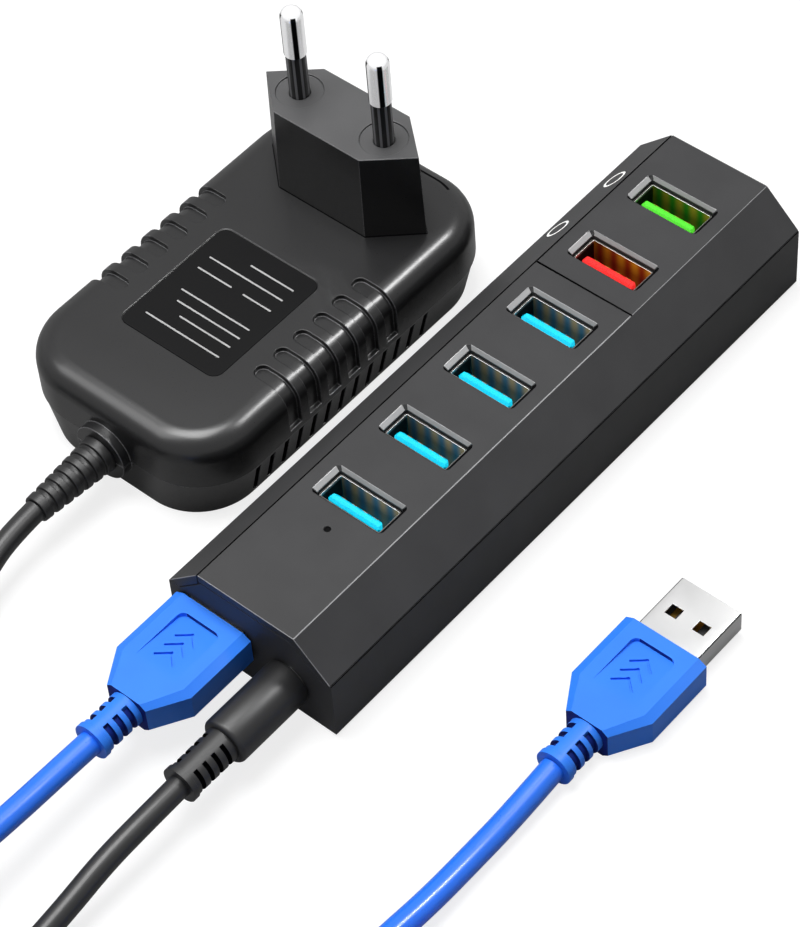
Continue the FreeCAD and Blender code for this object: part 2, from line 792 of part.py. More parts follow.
# ---------------------------------------------------------------- cords
def tangent_path(name, points):
    """Straight runs joined by tangent arcs, each as large as its two runs allow."""
    vectors = [V(*p) for p in points]
    edges, here, radii = [], vectors[0], []
    for a, b, c in zip(vectors, vectors[1:], vectors[2:]):
        along, away = (b - a).normalize(), (c - b).normalize()
        run = min((b - a).Length, (c - b).Length)
        half_turn = along.getAngle(away) / 2
        cut = 0.45 * run
        radii.append(cut / math.tan(half_turn))
        start, end = b - along * cut, b + away * cut
        inward = (away - along).normalize()
        middle = b + inward * (radii[-1] / math.cos(half_turn) - radii[-1])
        edges.append(Part.LineSegment(here, start).toShape())
        edges.append(Part.Arc(start, middle, end).toShape())
        here = end
    edges.append(Part.LineSegment(here, vectors[-1]).toShape())
    print(name, "bend radii", " ".join("%.0f" % r for r in radii))
    return Part.Wire(edges)


def tube(name, points, diameter):
    """The plain tube of one stretch of cord."""
    path = tangent_path(name, points)
    first = V(*points[1]) - V(*points[0])
    ring = Part.Wire(Part.Circle(V(*points[0]), first, diameter / 2).toShape())
    solid = path.makePipeShell([ring], True, False)
    expected = math.pi * diameter ** 2 / 4 * path.Length
    print(name, "length %.1f" % path.Length, "volume ratio %.5f" % (solid.Volume / expected))
    save(name, solid)
    return path.Length


def coil_body(name, cx, cy, mid, turns, pitch, cord):
    """The outer shape of a neat flat coil lying on the table."""
    outer = mid + turns * pitch / 2 + cord / 2
    inner = mid - turns * pitch / 2 - cord / 2
    height = coil_layers * cord
    ring = rod(2 * outer, (cx, cy, 0), (cx, cy, height))
    ring = ring.cut(rod(2 * inner, (cx, cy, -past), (cx, cy, height + past)))
    save(name, ring)
    return 2 * math.pi * mid * turns * coil_layers


def build_cords():
    """Each cord's free stretches and its put-away coil."""
    data = tube("data_cord_hub_run", hub_run_points, data_cord)
    data += coil_body("data_cord_coil", data_coil_x, data_coil_y, data_coil_mid, data_coil_turns,
                      data_pitch, data_cord)
    data += tube("data_cord_host_run", host_run_points, data_cord)
    power = tube("power_cord_plug_run", plug_run_points, power_cord)
    power += coil_body("power_cord_coil", power_coil_x, power_coil_y, power_coil_mid,
                       power_coil_turns, power_pitch, power_cord)
    power += tube("power_cord_adapter_run", adapter_run_points, power_cord)
    print("data cord %.0f mm, power cord %.0f mm" % (data, power))


# ---------------------------------------------------------------- mains adapter
def side_notches():
    """The grip notches over both long top edges, to one depth all round the edge."""
    bars = []
    for i in range(notch_count):
        x = adapter_x + grip_offset + (i - (notch_count - 1) / 2) * notch_pitch
        for side in (-1, 1):
            edge = pins_y + side * adapter_width / 2
            inner_end = edge - side * notch_reach
            low, high = sorted((inner_end, edge + side))
            bar = box(x - notch_width / 2, x + notch_width / 2, low, high,
                      adapter_split + notch_foot, adapter_height + past)
            bars.append(bar.fuse(rod(notch_width, (x, inner_end, adapter_split + notch_foot),
                                     (x, inner_end, adapter_height + past))))
    core = casing_block(notch_depth, adapter_split - past)
    return Part.makeCompound(bars).cut(core)


def casing_block(inset, floor_z):
    """The outer block of the upper casing, drawn in by inset, with its round top edge."""
    block = rounded_slab(adapter_x, pins_y, floor_z, adapter_height - inset,
                         adapter_length - 2 * inset, adapter_width - 2 * inset,
                         adapter_corner - inset)
    top = [e for e in block.Edges
           if all(abs(v.Z - adapter_height + inset) < overcut for v in e.Vertexes)]
    return block.makeFillet(adapter_edge - inset, top)


def hexagon(z, grow):
    """The level outline of the pin boss at one height."""
    half, flat, point = boss_wide / 2 + grow, boss_flat / 2 + grow / 2, boss_long / 2 + grow
    corners = [(half, -flat), (half, flat), (0, point), (-half, flat), (-half, -flat), (0, -point)]
    return loop([(pins_x + x, pins_y + y, z) for x, y in corners])


def pin_places():
    """The y of each mains pin."""
    return [pins_y - pin_spacing / 2, pins_y + pin_spacing / 2]


def collar():
    """The round collar where the lead leaves the adapter."""
    return rod(collar_diameter, (adapter_rear_x - collar_length, pins_y, adapter_split),
               (adapter_rear_x + adapter_wall, pins_y, adapter_split))


def relief_hole():
    """The hole that both casings leave for the bend relief's neck."""
    return rod(relief_neck + 2 * parting, (adapter_rear_x - collar_length - past, pins_y, adapter_split),
               (adapter_rear_x + adapter_wall + past, pins_y, adapter_split))


def build_adapter_casings():
    """Upper casing with the pin boss, notches and label recess, and the ribbed lower casing."""
    reach_x0, reach_x1 = adapter_x - adapter_length, adapter_x + adapter_length
    above = box(reach_x0, reach_x1, pins_y - adapter_width, pins_y + adapter_width,
                adapter_split + parting / 2, boss_top + past)
    upper = casing_block(0, adapter_split - past)
    hollow = rounded_slab(adapter_x, pins_y, 0, adapter_top_wall, adapter_length - 2 * adapter_wall,
                          adapter_width - 2 * adapter_wall, adapter_corner - adapter_wall)
    upper = upper.fuse(collar()).cut(hollow)
    upper = upper.fuse(drafted_slab(hexagon(adapter_top_wall, boss_draft), hexagon(boss_top, 0)))
    upper = upper.cut(side_notches()).cut(relief_hole())
    recess = rounded_slab(adapter_x + label_offset, pins_y, adapter_height - label_depth,
                          adapter_height + past, label_length, label_width, label_corner)
    upper = upper.cut(recess)
    for y in pin_places():
        upper = upper.cut(rod(pin_core + 2 * pin_fit, (pins_x, y, 0), (pins_x, y, boss_top)))
        seat_z = boss_top - pin_dish_depth
        upper = upper.cut(rod(pin_dish_diameter, (pins_x, y, seat_z), (pins_x, y, boss_top + past)))
        upper = upper.cut(rod(sleeve_diameter + 2 * pin_fit, (pins_x, y, seat_z - sleeve_root),
                              (pins_x, y, boss_top)))
    save("adapter_upper_casing", upper.common(above))

    outer = drafted_slab(
        rounded_loop(adapter_x, pins_y, 0, adapter_length - 2 * adapter_end_draft,
                     adapter_width - 2 * adapter_side_draft, adapter_corner - adapter_end_draft),
        rounded_loop(adapter_x, pins_y, adapter_split + past, adapter_length, adapter_width,
                     adapter_corner))
    hollow = rounded_slab(adapter_x, pins_y, adapter_wall, adapter_height,
                          adapter_length - 2 * (adapter_wall + adapter_end_draft),
                          adapter_width - 2 * (adapter_wall + adapter_side_draft),
                          adapter_corner - adapter_wall - adapter_end_draft)
    lower = outer.fuse(collar()).cut(hollow).cut(relief_hole())
    slots = []
    for i in range(rib_slot_count):
        x = adapter_x + grip_offset + (i - (rib_slot_count - 1) / 2) * rib_slot_pitch
        for side in (-1, 1):
            face = pins_y + side * (adapter_width / 2 - adapter_side_draft)
            near, far = sorted((face - side * rib_slot_depth, face + side * 2 * adapter_side_draft))
            slots.append(box(x - rib_slot_width / 2, x + rib_slot_width / 2, near, far,
                             rib_slot_foot, adapter_split - rib_slot_head))
    below = box(reach_x0, reach_x1, pins_y - adapter_width, pins_y + adapter_width, 0,
                adapter_split - parting / 2)
    save("adapter_lower_casing", lower.cut(Part.makeCompound(slots)).common(below))


def build_pins():
    """The mains pins with their round tips, and the insulating sleeves around their lower halves."""
    pins, sleeves = [], []
    sleeve_top = boss_top + sleeve_length
    sleeve_low = boss_top - pin_dish_depth - sleeve_root
    for y in pin_places():
        tip = boss_top + pin_length
        bright = rod(pin_diameter, (pins_x, y, sleeve_top), (pins_x, y, tip))
        rim = [e for e in bright.Edges if abs(e.BoundBox.ZMin - tip) < overcut]
        bright = bright.makeFillet((pin_diameter - pin_tip_flat) / 2, rim)
        core = rod(pin_core, (pins_x, y, adapter_top_wall - pin_tail), (pins_x, y, sleeve_top))
        pins.append(bright.fuse(core))
        sleeve = rod(sleeve_diameter, (pins_x, y, sleeve_low), (pins_x, y, sleeve_top))
        sleeves.append(sleeve.cut(rod(pin_core, (pins_x, y, 0), (pins_x, y, sleeve_top + past))))
    save("mains_pins", *pins)
    save("mains_pin_sleeves", *sleeves)


def build_relief():
    """The ringed, tapered bend relief where the lead leaves the adapter."""
    face = adapter_rear_x - collar_length
    axis = (pins_y, adapter_split)
    cone = taper_rod(relief_root, relief_tip, (face, *axis), (relief_tip_x, *axis))
    step = relief_length / (relief_rings + 1)
    fall = (relief_root - relief_tip) / relief_length
    for i in range(relief_rings):
        x = face - step * (i + 1)
        floor = relief_root - fall * (face - x) - 2 * relief_groove_depth
        groove = rod(2 * relief_root, (x + relief_groove / 2, *axis), (x - relief_groove / 2, *axis))
        cone = cone.cut(groove.cut(rod(floor, (face, *axis), (relief_tip_x, *axis))))
    neck_end = adapter_rear_x + adapter_wall + adapter_end_draft + parting
    neck = rod(relief_neck, (face, *axis), (neck_end, *axis))
    flange = rod(relief_flange, (neck_end, *axis), (neck_end + relief_flange_thick, *axis))
    save("adapter_strain_relief", cone.fuse([neck, flange]))


def build_adapter_inside():
    """The converter board of the adapter on its posts, and the large parts on it."""
    board_low = adapter_wall + adapter_post_height
    top = board_low + adapter_board_thick
    length = adapter_length - 2 * adapter_board_end
    width = adapter_width - 2 * adapter_board_side
    x0, x1 = adapter_x - length / 2, adapter_x + length / 2
    board = box(x0, x1, pins_y - width / 2, pins_y + width / 2, board_low, top)
    post_side = width / 2 - adapter_post_side
    posts = [rod(adapter_post, (x, pins_y + side * post_side, adapter_wall),
                 (x, pins_y + side * post_side, board_low))
             for x in (x0 + adapter_post_inset, x1 - adapter_post_inset) for side in (-1, 1)]
    save("adapter_board", board.fuse(posts))
    middle = adapter_x + transformer_offset
    core = box(middle - core_length / 2, middle + core_length / 2, pins_y - core_width / 2,
               pins_y + core_width / 2, top, adapter_top_wall - core_roof_gap)
    bobbin = rod(bobbin_diameter, (middle, pins_y, top),
                 (middle, pins_y, adapter_top_wall - bobbin_roof_gap))
    save("adapter_transformer", core.fuse(bobbin))
    can_z = top + reservoir_diameter / 2
    save("adapter_capacitors",
         *[rod(reservoir_diameter, (x0 + 1, pins_y + side * reservoir_spread / 2, can_z),
               (x0 + 1 + reservoir_length, pins_y + side * reservoir_spread / 2, can_z))
           for side in (-1, 1)])


os.makedirs("parts", exist_ok=True)
build_lower_shell()
build_covers()
build_feet_and_screws()
build_ports()
build_board()
build_light()
build_jack()
build_data_plug("hub_plug", grip_front_x, upstream_y, upstream_z)
build_data_plug("host_plug", host_grip_x, host_y, host_z)
build_power_plug()
build_cords()
build_adapter_casings()
build_pins()
build_relief()
build_adapter_inside()
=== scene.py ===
"""Finished surfaces of a powered six-port hub bar with its data cable and mains adapter.

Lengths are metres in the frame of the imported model: +X runs along the hub away from its cables, +Y to
the side of the trim rail and +Z up out of the ports.
"""

import logging
import math
from dataclasses import dataclass
from enum import Enum
from typing import Callable, Sequence

import bpy
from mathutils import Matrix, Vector


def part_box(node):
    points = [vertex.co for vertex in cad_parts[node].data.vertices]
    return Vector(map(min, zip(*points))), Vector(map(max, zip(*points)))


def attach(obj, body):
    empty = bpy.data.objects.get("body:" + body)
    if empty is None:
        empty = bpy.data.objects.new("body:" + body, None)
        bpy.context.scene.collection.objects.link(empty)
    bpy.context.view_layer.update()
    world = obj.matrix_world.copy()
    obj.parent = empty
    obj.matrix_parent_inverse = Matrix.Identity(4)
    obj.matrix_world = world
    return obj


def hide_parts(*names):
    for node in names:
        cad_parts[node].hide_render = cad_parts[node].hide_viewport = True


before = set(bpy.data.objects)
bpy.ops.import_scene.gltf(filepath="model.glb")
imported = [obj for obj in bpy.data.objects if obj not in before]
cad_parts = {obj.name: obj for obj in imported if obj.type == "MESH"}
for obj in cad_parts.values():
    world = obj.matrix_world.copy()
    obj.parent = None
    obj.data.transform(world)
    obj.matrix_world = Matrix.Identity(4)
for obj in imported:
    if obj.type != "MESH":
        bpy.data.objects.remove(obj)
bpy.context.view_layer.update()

LOG = logging.getLogger("hub_scene")
MM = 0.001
CAD_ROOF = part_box("data_port_cover")[1].z
CAD_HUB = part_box("lower_shell")
Colour = tuple[float, float, float]
Point = tuple[float, float, float]
Piece = bpy.types.Object
Face = bpy.types.MeshPolygon
Socket = bpy.types.NodeSocket
Feeds = dict[str | int, Socket | float | tuple[float, ...]]
Test = Callable[[Vector, Vector], bool]


# ------------------------------------------------------------------------------------ finishes
def tint(red: int, green: int, blue: int) -> Colour:
    """A colour as it shows on a screen, from 0 to 255, turned into linear light."""
    shares = (red / 255, green / 255, blue / 255)
    return tuple(c / 12.92 if c <= 0.04045 else ((c + 0.055) / 1.055) ** 2.4 for c in shares)


def grey(level: int, cold: int = 1) -> Colour:
    """A grey as it shows on a screen, with a little more blue."""
    return tint(level, level, level + cold)


class Nodes:
    """The node tree of a material or of the world, with short calls for what the finishes share."""

    def __init__(self, owner: bpy.types.Material | bpy.types.World) -> None:
        """Start from the shader that a new material or world holds.

        Args:
            owner: The material or world.
        """
        owner.use_nodes = True
        self.owner = owner
        self.tree = owner.node_tree
        self.shader = self.tree.nodes.get("Principled BSDF") or self.tree.nodes["Background"]

    def feed(self, node: bpy.types.Node, feeds: Feeds) -> None:
        """Link a node's inputs to sockets, or set them to values."""
        for key, value in feeds.items():
            if isinstance(value, Socket):
                self.tree.links.new(value, node.inputs[key])
            else:
                node.inputs[key].default_value = value

    def add(self, kind: str, feeds: Feeds, **settings: object) -> bpy.types.bpy_prop_collection:
        """Add a node.

        Args:
            kind: Its type, without the start that all types share.
            feeds: What its inputs are linked or set to.
            settings: Its properties.

        Returns:
            Its outputs.
        """
        node = self.tree.nodes.new("ShaderNode" + kind)
        for key, value in settings.items():
            setattr(node, key, value)
        self.feed(node, feeds)
        return node.outputs

    def coordinates(self, kind: str = "Object") -> Socket:
        """The place on the object, or its normal."""
        return self.add("TexCoord", {})[kind]

    def axes(self, kind: str = "Object") -> bpy.types.bpy_prop_collection:
        """X, Y and Z of the place on the object, or of its normal."""
        return self.add("SeparateXYZ", {"Vector": self.coordinates(kind)})

    def base(self) -> Socket:
        """The colour that the shader is linked to."""
        return self.shader.inputs["Base Color"].links[0].from_socket

    def math(self, operation: str, *values: Socket | float) -> Socket:
        """The result of one operation on one to three values."""
        return self.add("Math", dict(enumerate(values)), operation=operation)[0]

    def mix(self, share: Socket, first: Socket | Sequence[float], second: Socket | Sequence[float]) -> Socket:
        """A colour between two others."""
        return self.add("Mix", {"Factor": share, "A": first, "B": second}, data_type="RGBA")["Result"]

    def span(self, value: Socket, low: float, high: float, start: float = 0.0, end: float = 1.0) -> Socket:
        """A value moved so that its start and end become low and high, and kept between them."""
        feeds = {"Value": value, "From Min": start, "From Max": end, "To Min": low, "To Max": high}
        return self.add("MapRange", feeds)["Result"]

    def noise(self, size: float, stretch: Point = (1, 1, 1), detail: float = 2.0) -> Socket:
        """Noise from 0 to 1 whose lumps have about the given size.

        Args:
            size: The size of one lump in metres.
            stretch: The scale along each axis before the noise is read.
            detail: How many finer octaves are added.

        Returns:
            The socket that holds the noise.
        """
        place = self.add("Mapping", {"Vector": self.coordinates(), "Scale": stretch})["Vector"]
        return self.add("TexNoise", {"Vector": place, "Scale": 1 / size, "Detail": detail})["Fac"]

    def ramp(self, value: Socket, stops: Sequence[tuple[float, Colour]]) -> Socket:
        """A colour ramp over a value.

        Args:
            value: The socket that the ramp reads.
            stops: Position and colour of its two stops.

        Returns:
            The ramp's colour.
        """
        colour = self.add("ValToRGB", {"Fac": value})["Color"]
        for element, (position, shown) in zip(colour.node.color_ramp.elements, stops):
            element.position = position
            element.color = (*shown, 1)
        return colour


@dataclass(frozen=True)
class Finish:
    """A moulded, plated or painted surface with grain, mottling and uneven gloss.

    Attributes:
        name: The finish's name.
        colour: Its linear colour.
        roughness: Its middle roughness.
        metallic: 1 for bare metal.
        grain: The size of its grain in millimetres.
        depth: The height of its grain in millimetres.
        stretch: How the grain is squeezed along each axis, as brushing does.
        mottle: How far its colour wanders, as a share.
        mottle_size: The size of a patch of colour in millimetres.
        gloss_spread: How far its roughness wanders.
        coat: The weight of a clear coat.
        ior: Its index of refraction.
        glow: The strength of painted light that it gives off, though it is no lamp.
        clear: The share of light that passes through it.
    """

    name: str
    colour: Colour
    roughness: float
    metallic: float = 0.0
    grain: float = 0.25
    depth: float = 0.01
    stretch: Point = (1, 1, 1)
    mottle: float = 0.08
    mottle_size: float = 9
    gloss_spread: float = 0.06
    coat: float = 0.0
    ior: float = 1.5
    glow: float = 0.0
    clear: float = 0.0

    def shade(self, share: float) -> Colour:
        """The finish's colour made lighter or darker by a share."""
        return tuple(min(1.0, c * share) for c in self.colour)

    def nodes(self) -> Nodes:
        """Build the node tree that every finish starts from."""
        nodes = Nodes(bpy.data.materials.new(self.name))
        patches = nodes.noise(self.mottle_size * MM, detail=3)
        stops = ((0.3, self.shade(1 - self.mottle)), (0.7, self.shade(1 + self.mottle)))
        grain = nodes.noise(self.grain * MM, self.stretch)
        gloss = nodes.span(grain, self.roughness - self.gloss_spread, self.roughness + self.gloss_spread)
        bump = nodes.add("Bump", {"Height": grain, "Distance": self.depth * MM, "Strength": 1.0})
        nodes.feed(nodes.shader, {
            "Base Color": nodes.ramp(patches, stops), "Metallic": self.metallic, "Roughness": gloss,
            "Coat Weight": self.coat, "IOR": self.ior, "Transmission Weight": self.clear,
            "Emission Color": (*self.colour, 1), "Emission Strength": self.glow, "Normal": bump["Normal"]})
        return nodes

    def make(self) -> bpy.types.Material:
        """Build the material."""
        return self.nodes().owner


@dataclass(frozen=True)
class SocketMetal(Finish):
    """Plated sheet whose long inner wall carries painted reflections of the contact strips before it, and
    painted shade below the mouth.

    Attributes:
        warm: The colour of the painted reflection of a gold strip.
        cool: The colour of the painted reflection of the coloured tongue.
        pitch: The distance from one strip to the next.
        phase: Where the first strip is.
        mirrored: How bright the painted reflections of the strips glow.
        dull: How metallic the mirroring wall is.
        dark: The share of its colour that the metal keeps below the mouth, as painted shade.
        mouth: The heights between which the painted shade ends.
        fade_up: The heights between which the painted reflections brighten.
        fade_across: The places along Y between which they brighten.
    """

    roughness: float = 0.42
    metallic: float = 1.0
    grain: float = 0.15
    depth: float = 0.001
    warm: Colour = (0.12, 0.08, 0.03)
    cool: Colour = (0.02, 0.07, 0.1)
    pitch: float = 3.0 * MM
    phase: float = 2.3
    mirrored: float = 0.7
    dull: float = 0.1
    dark: float = 0.05
    mouth: tuple[float, float] = (18.0 * MM, 18.6 * MM)
    fade_up: tuple[float, float] = (15.6 * MM, 18.2 * MM)
    fade_across: tuple[float, float] = (5.5 * MM, -2 * MM)

    def make(self) -> bpy.types.Material:
        """Build the material, with painted reflections striped across the hub on the walls that face the
        cables, and painted shade below the mouth.
        """
        nodes = self.nodes()
        place = nodes.axes()
        wave = nodes.add("TexWave", {"Vector": nodes.coordinates(), "Scale": math.pi / (10 * self.pitch),
                                     "Distortion": 0.4, "Phase Offset": self.phase},
                         bands_direction="Y", wave_profile="SIN")
        stripes = nodes.ramp(wave["Fac"], ((0.0, self.cool), (1.0, self.warm)))
        turned = nodes.math("LESS_THAN", nodes.axes("Normal")["X"], -0.8)
        # Painted shade: deep in the socket the metal darkens to a share of its colour.
        plain = nodes.mix(nodes.span(place["Z"], 0, 1, *self.mouth), (*self.shade(self.dark), 1),
                          nodes.base())
        # Painted reflection: the stripes glow on the walls that face the cables.
        across = nodes.span(place["Y"], 0.15 * self.mirrored, self.mirrored, *self.fade_across)
        reflection_glow = nodes.math("MULTIPLY", across, nodes.span(place["Z"], 0.12, 1, *self.fade_up))
        nodes.feed(nodes.shader, {
            "Base Color": nodes.mix(turned, plain, stripes),
            "Metallic": nodes.span(turned, self.metallic, self.dull),
            "Emission Color": stripes, "Emission Strength": nodes.math("MULTIPLY", turned, reflection_glow)})
        return nodes.owner


@dataclass(frozen=True)
class PaintedReflections(Finish):
    """A round upright part whose side carries painted reflections: long bands of what stands about it,
    painted into its colour, with a painted glow between them.

    Attributes:
        reflection_colour: The colour of the painted reflections.
        reflection_count: How many painted reflections there are round the part.
        turn: The direction of one of them in degrees.
        narrow: How narrow they are, up to 1.
        blur: How soft their edges are.
    """

    reflection_colour: Colour = (0.005, 0.005, 0.005)
    reflection_count: int = 4
    turn: float = 232.0
    narrow: float = 0.58
    blur: float = 0.12

    def make(self) -> bpy.types.Material:
        """Build the material, with painted reflections and a painted glow where the surface is upright."""
        nodes = self.nodes()
        facing = nodes.axes("Normal")
        angle = nodes.math("MULTIPLY_ADD", nodes.math("ARCTAN2", facing["Y"], facing["X"]), self.reflection_count,
                           -math.radians(self.turn * self.reflection_count))
        # Painted reflections: bands round the upright side, with a painted glow between them.
        band = nodes.span(nodes.math("COSINE", angle), 0, 1, self.narrow - self.blur, self.narrow + self.blur)
        share = nodes.math("MULTIPLY", band, nodes.math("LESS_THAN", facing["Z"], 0.5))
        nodes.feed(nodes.shader, {"Base Color": nodes.mix(share, nodes.base(), (*self.reflection_colour, 1)),
                                  "Emission Strength": nodes.span(share, self.glow, 0)})
        return nodes.owner


@dataclass(frozen=True)
class Laminate(Finish):
    """Board laminate under a solder mask, with copper runs showing through.

    Attributes:
        run: The colour over a copper run.
        run_pitch: The distance from one run to the next.
    """

    run: Colour = (0.03, 0.2, 0.06)
    run_pitch: float = 1.6 * MM

    def make(self) -> bpy.types.Material:
        """Build the material with runs in a loose brick pattern."""
        nodes = self.nodes()
        feeds = {"Vector": nodes.coordinates(), "Scale": 1 / (4 * self.run_pitch), "Mortar Size": 0.04,
                 "Color1": (*self.colour, 1), "Color2": (*self.shade(0.85), 1), "Mortar": (*self.run, 1)}
        bricks = nodes.add("TexBrick", feeds, offset=0.37, squash=1.0)
        nodes.feed(nodes.shader, {"Base Color": bricks["Color"]})
        return nodes.owner


CASE = Finish("case_charcoal", grey(61), 0.5, ior=1.27, grain=0.12, depth=0.006)
# Painted highlight: a light grey for the case's rounded outer edges.
CASE_EDGE_HIGHLIGHT = Finish("case_painted_edge_highlight", grey(128, 2), 0.36, grain=0.3, depth=0.002)
# Near black: the dark of real seams, and painted shade in the recess bevels that face +X and +Y, in the power
# plug's relief slots and round the foot of the adapter's boss.
SEAM_AND_SHADE = Finish("seam_shadow", grey(7), 0.8, ior=1.1, depth=0.002)
RIM = Finish("rim_steel", tint(92, 88, 84), 0.3, metallic=0.8, depth=0.001)
RECESS = Finish("recess_satin", grey(158, 0), 0.34, metallic=0.15, grain=0.1, depth=0.003,
                stretch=(1, 0.1, 1))
# Painted light: a lighter copy of the recess satin for the bevels that face -Y.
RECESS_SIDE_PAINTED_LIGHT = Finish("recess_satin_side_painted_light", grey(184), 0.34, metallic=0.1, grain=0.1, depth=0.003,
                     stretch=(0.1, 1, 1))
# The white print glows with painted light.
PRINT = Finish("white_print", tint(246, 246, 244), 0.6, glow=0.25, depth=0.002)
LENS = Finish("smoked_lens", grey(10), 0.3, clear=0.1, ior=1.15, depth=0.0005)
FOOT = Finish("foot_rubber", grey(30), 0.8, grain=0.2, depth=0.02)
SCREW = Finish("zinc_screw", grey(150, 5), 0.35, metallic=1.0)
# Socket metals: painted reflections of their strips and tongues, and painted shade below the mouth.
SOCKET_BLUE = SocketMetal("socket_metal_blue", tint(206, 207, 208), warm=tint(116, 102, 72),
                          cool=tint(44, 78, 98))
SOCKET_RED = SocketMetal("socket_metal_red", tint(206, 200, 196), warm=tint(150, 96, 14),
                         cool=tint(104, 26, 4))
SOCKET_GREEN = SocketMetal("socket_metal_green", tint(200, 206, 198), warm=tint(104, 98, 20),
                           cool=tint(16, 88, 10))
PLATED = Finish("plated_steel", grey(200, 0), 0.34, metallic=0.6, grain=0.09, depth=0.0012,
                stretch=(0.08, 1, 1), mottle=0.03)
# Painted shade: a darker steel for the rounded corners of the plugs' tubes.
FOLD_SHADE = Finish("fold_steel_painted_shade", grey(84, 0), 0.4, metallic=0.7, depth=0.001)
# The barrel's plate glows faintly with painted light.
CHROME = Finish("bright_plate", grey(240), 0.26, metallic=0.92, grain=0.5, depth=0.0008,
                stretch=(1, 1, 0.05), gloss_spread=0.03, mottle=0.02, glow=0.05)
GOLD = Finish("contact_gold", tint(212, 165, 74), 0.25, metallic=1.0, depth=0.001)
# The tongues glow faintly with painted light.
TONGUE_BLUE = Finish("tongue_blue", tint(0, 214, 250), 0.28, glow=0.1, depth=0.002, mottle=0.04)
TONGUE_RED = Finish("tongue_red", tint(255, 40, 38), 0.28, glow=0.1, depth=0.002, mottle=0.04)
TONGUE_GREEN = Finish("tongue_green", tint(84, 226, 46), 0.28, glow=0.1, depth=0.002, mottle=0.04)
BLUE_GRIP = Finish("blue_moulding", tint(52, 132, 252), 0.38, grain=0.14, depth=0.004, mottle=0.05,
                   ior=1.32)
# Painted shade: a deep blue for the grips' rear faces and the slots of their reliefs.
BLUE_SHADE = Finish("blue_moulding_painted_shade", tint(20, 42, 128), 0.6, grain=0.14, depth=0.004, ior=1.2)
BLUE_CORD = Finish("blue_jacket", tint(36, 120, 252), 0.3, grain=0.5, depth=0.006, mottle=0.05, coat=0.08)
BLACK_GRIP = Finish("black_moulding", grey(23), 0.42, grain=0.14, depth=0.004)
BLACK_CORD = Finish("black_jacket", grey(21), 0.42, grain=0.5, depth=0.006, coat=0.1)
ADAPTER = Finish("adapter_satin", grey(25), 0.3, grain=0.2, depth=0.0015, coat=0.03)
# Painted highlight: a lighter grey for the adapter's rounded edges.
ADAPTER_EDGE_HIGHLIGHT = Finish("adapter_edge_painted_highlight", grey(78, 2), 0.28, depth=0.002)
# Painted light: a lighter grey for the upward faces of the boss's top.
BOSS_TOP_LIGHT = Finish("boss_top_painted_light", grey(78), 0.4, grain=0.2, depth=0.003)
LABEL = Finish("label_film", grey(8), 0.5, grain=0.4, depth=0.001, ior=1.2)
RULE = Finish("label_rule", grey(176, 0), 0.6, depth=0.001)
# Pins: dark bands of painted reflection, and a painted glow between them.
PIN = PaintedReflections("pin_plate", grey(238), 0.24, metallic=0.9, grain=0.5, depth=0.0008, stretch=(1, 1, 0.05),
               gloss_spread=0.03, mottle=0.02, glow=0.42)
# Sleeves: light bands of painted reflection on the black.
SLEEVE = PaintedReflections("sleeve_black", grey(13), 0.3, depth=0.0006, reflection_colour=grey(122, 3), reflection_count=9, turn=248.0,
                  narrow=0.42)
BOARD = Laminate("board_mask", tint(16, 82, 38), 0.35, depth=0.002)
CHIP = Finish("chip_epoxy", grey(28, 2), 0.55, grain=0.08)
CAN = Finish("can_metal", tint(168, 170, 176), 0.3, metallic=1.0, stretch=(1, 1, 0.1))
FERRITE = Finish("ferrite_grey", grey(62, 4), 0.6, grain=0.3)
NATURAL = Finish("insulator_white", tint(222, 222, 216), 0.4, depth=0.002)
TIE = Finish("tie_strap", grey(24, 2), 0.7, grain=0.35, depth=0.05)
MADE: dict[str, bpy.types.Material] = {}


def material(finish: Finish) -> bpy.types.Material:
    """The material of a finish, built when it is first asked for."""
    if finish.name not in MADE:
        MADE[finish.name] = finish.make()
    return MADE[finish.name]


# ------------------------------------------------------------------------------------ bench tools
class Part(Enum):
    """What a selection picks from a mesh."""

    FACE = "FACE"
    EDGE = "EDGE"
    VERT = "VERT"


def hold(piece: Piece) -> None:
    """Select one piece alone and make it the active one."""
    bpy.ops.object.select_all(action="DESELECT")
    piece.select_set(True)
    bpy.context.view_layer.objects.active = piece


def added(name: str) -> Piece:
    """Name the piece that was just added, and put its place, turn and scale into its mesh."""
    piece = bpy.context.object
    piece.name = name
    hold(piece)
    bpy.ops.object.transform_apply(location=True, rotation=True, scale=True)
    return piece


def block(name: str, low: Sequence[float], high: Sequence[float]) -> Piece:
    """Add a cube primitive between its lowest and its highest corner."""
    a, b = Vector(low), Vector(high)
    bpy.ops.mesh.primitive_cube_add(size=1, location=(a + b) / 2, scale=b - a)
    return added(name)


def bar(name: str, start: Sequence[float], end: Sequence[float], radius: float,
        end_radius: float | None = None, sides: int = 64) -> Piece:
    """Add a cylinder or cone primitive between two points.

    Args:
        name: The piece's name.
        start: The middle of its first end.
        end: The middle of its other end.
        radius: The radius at the first end.
        end_radius: The radius at the other end, if it differs.
        sides: How many sides it has.

    Returns:
        The new piece.
    """
    a, b = Vector(start), Vector(end)
    bpy.ops.mesh.primitive_cone_add(vertices=sides, radius1=radius,
                                    radius2=radius if end_radius is None else end_radius,
                                    depth=(b - a).length, location=(a + b) / 2,
                                    rotation=(b - a).to_track_quat("Z", "Y").to_euler())
    return added(name)


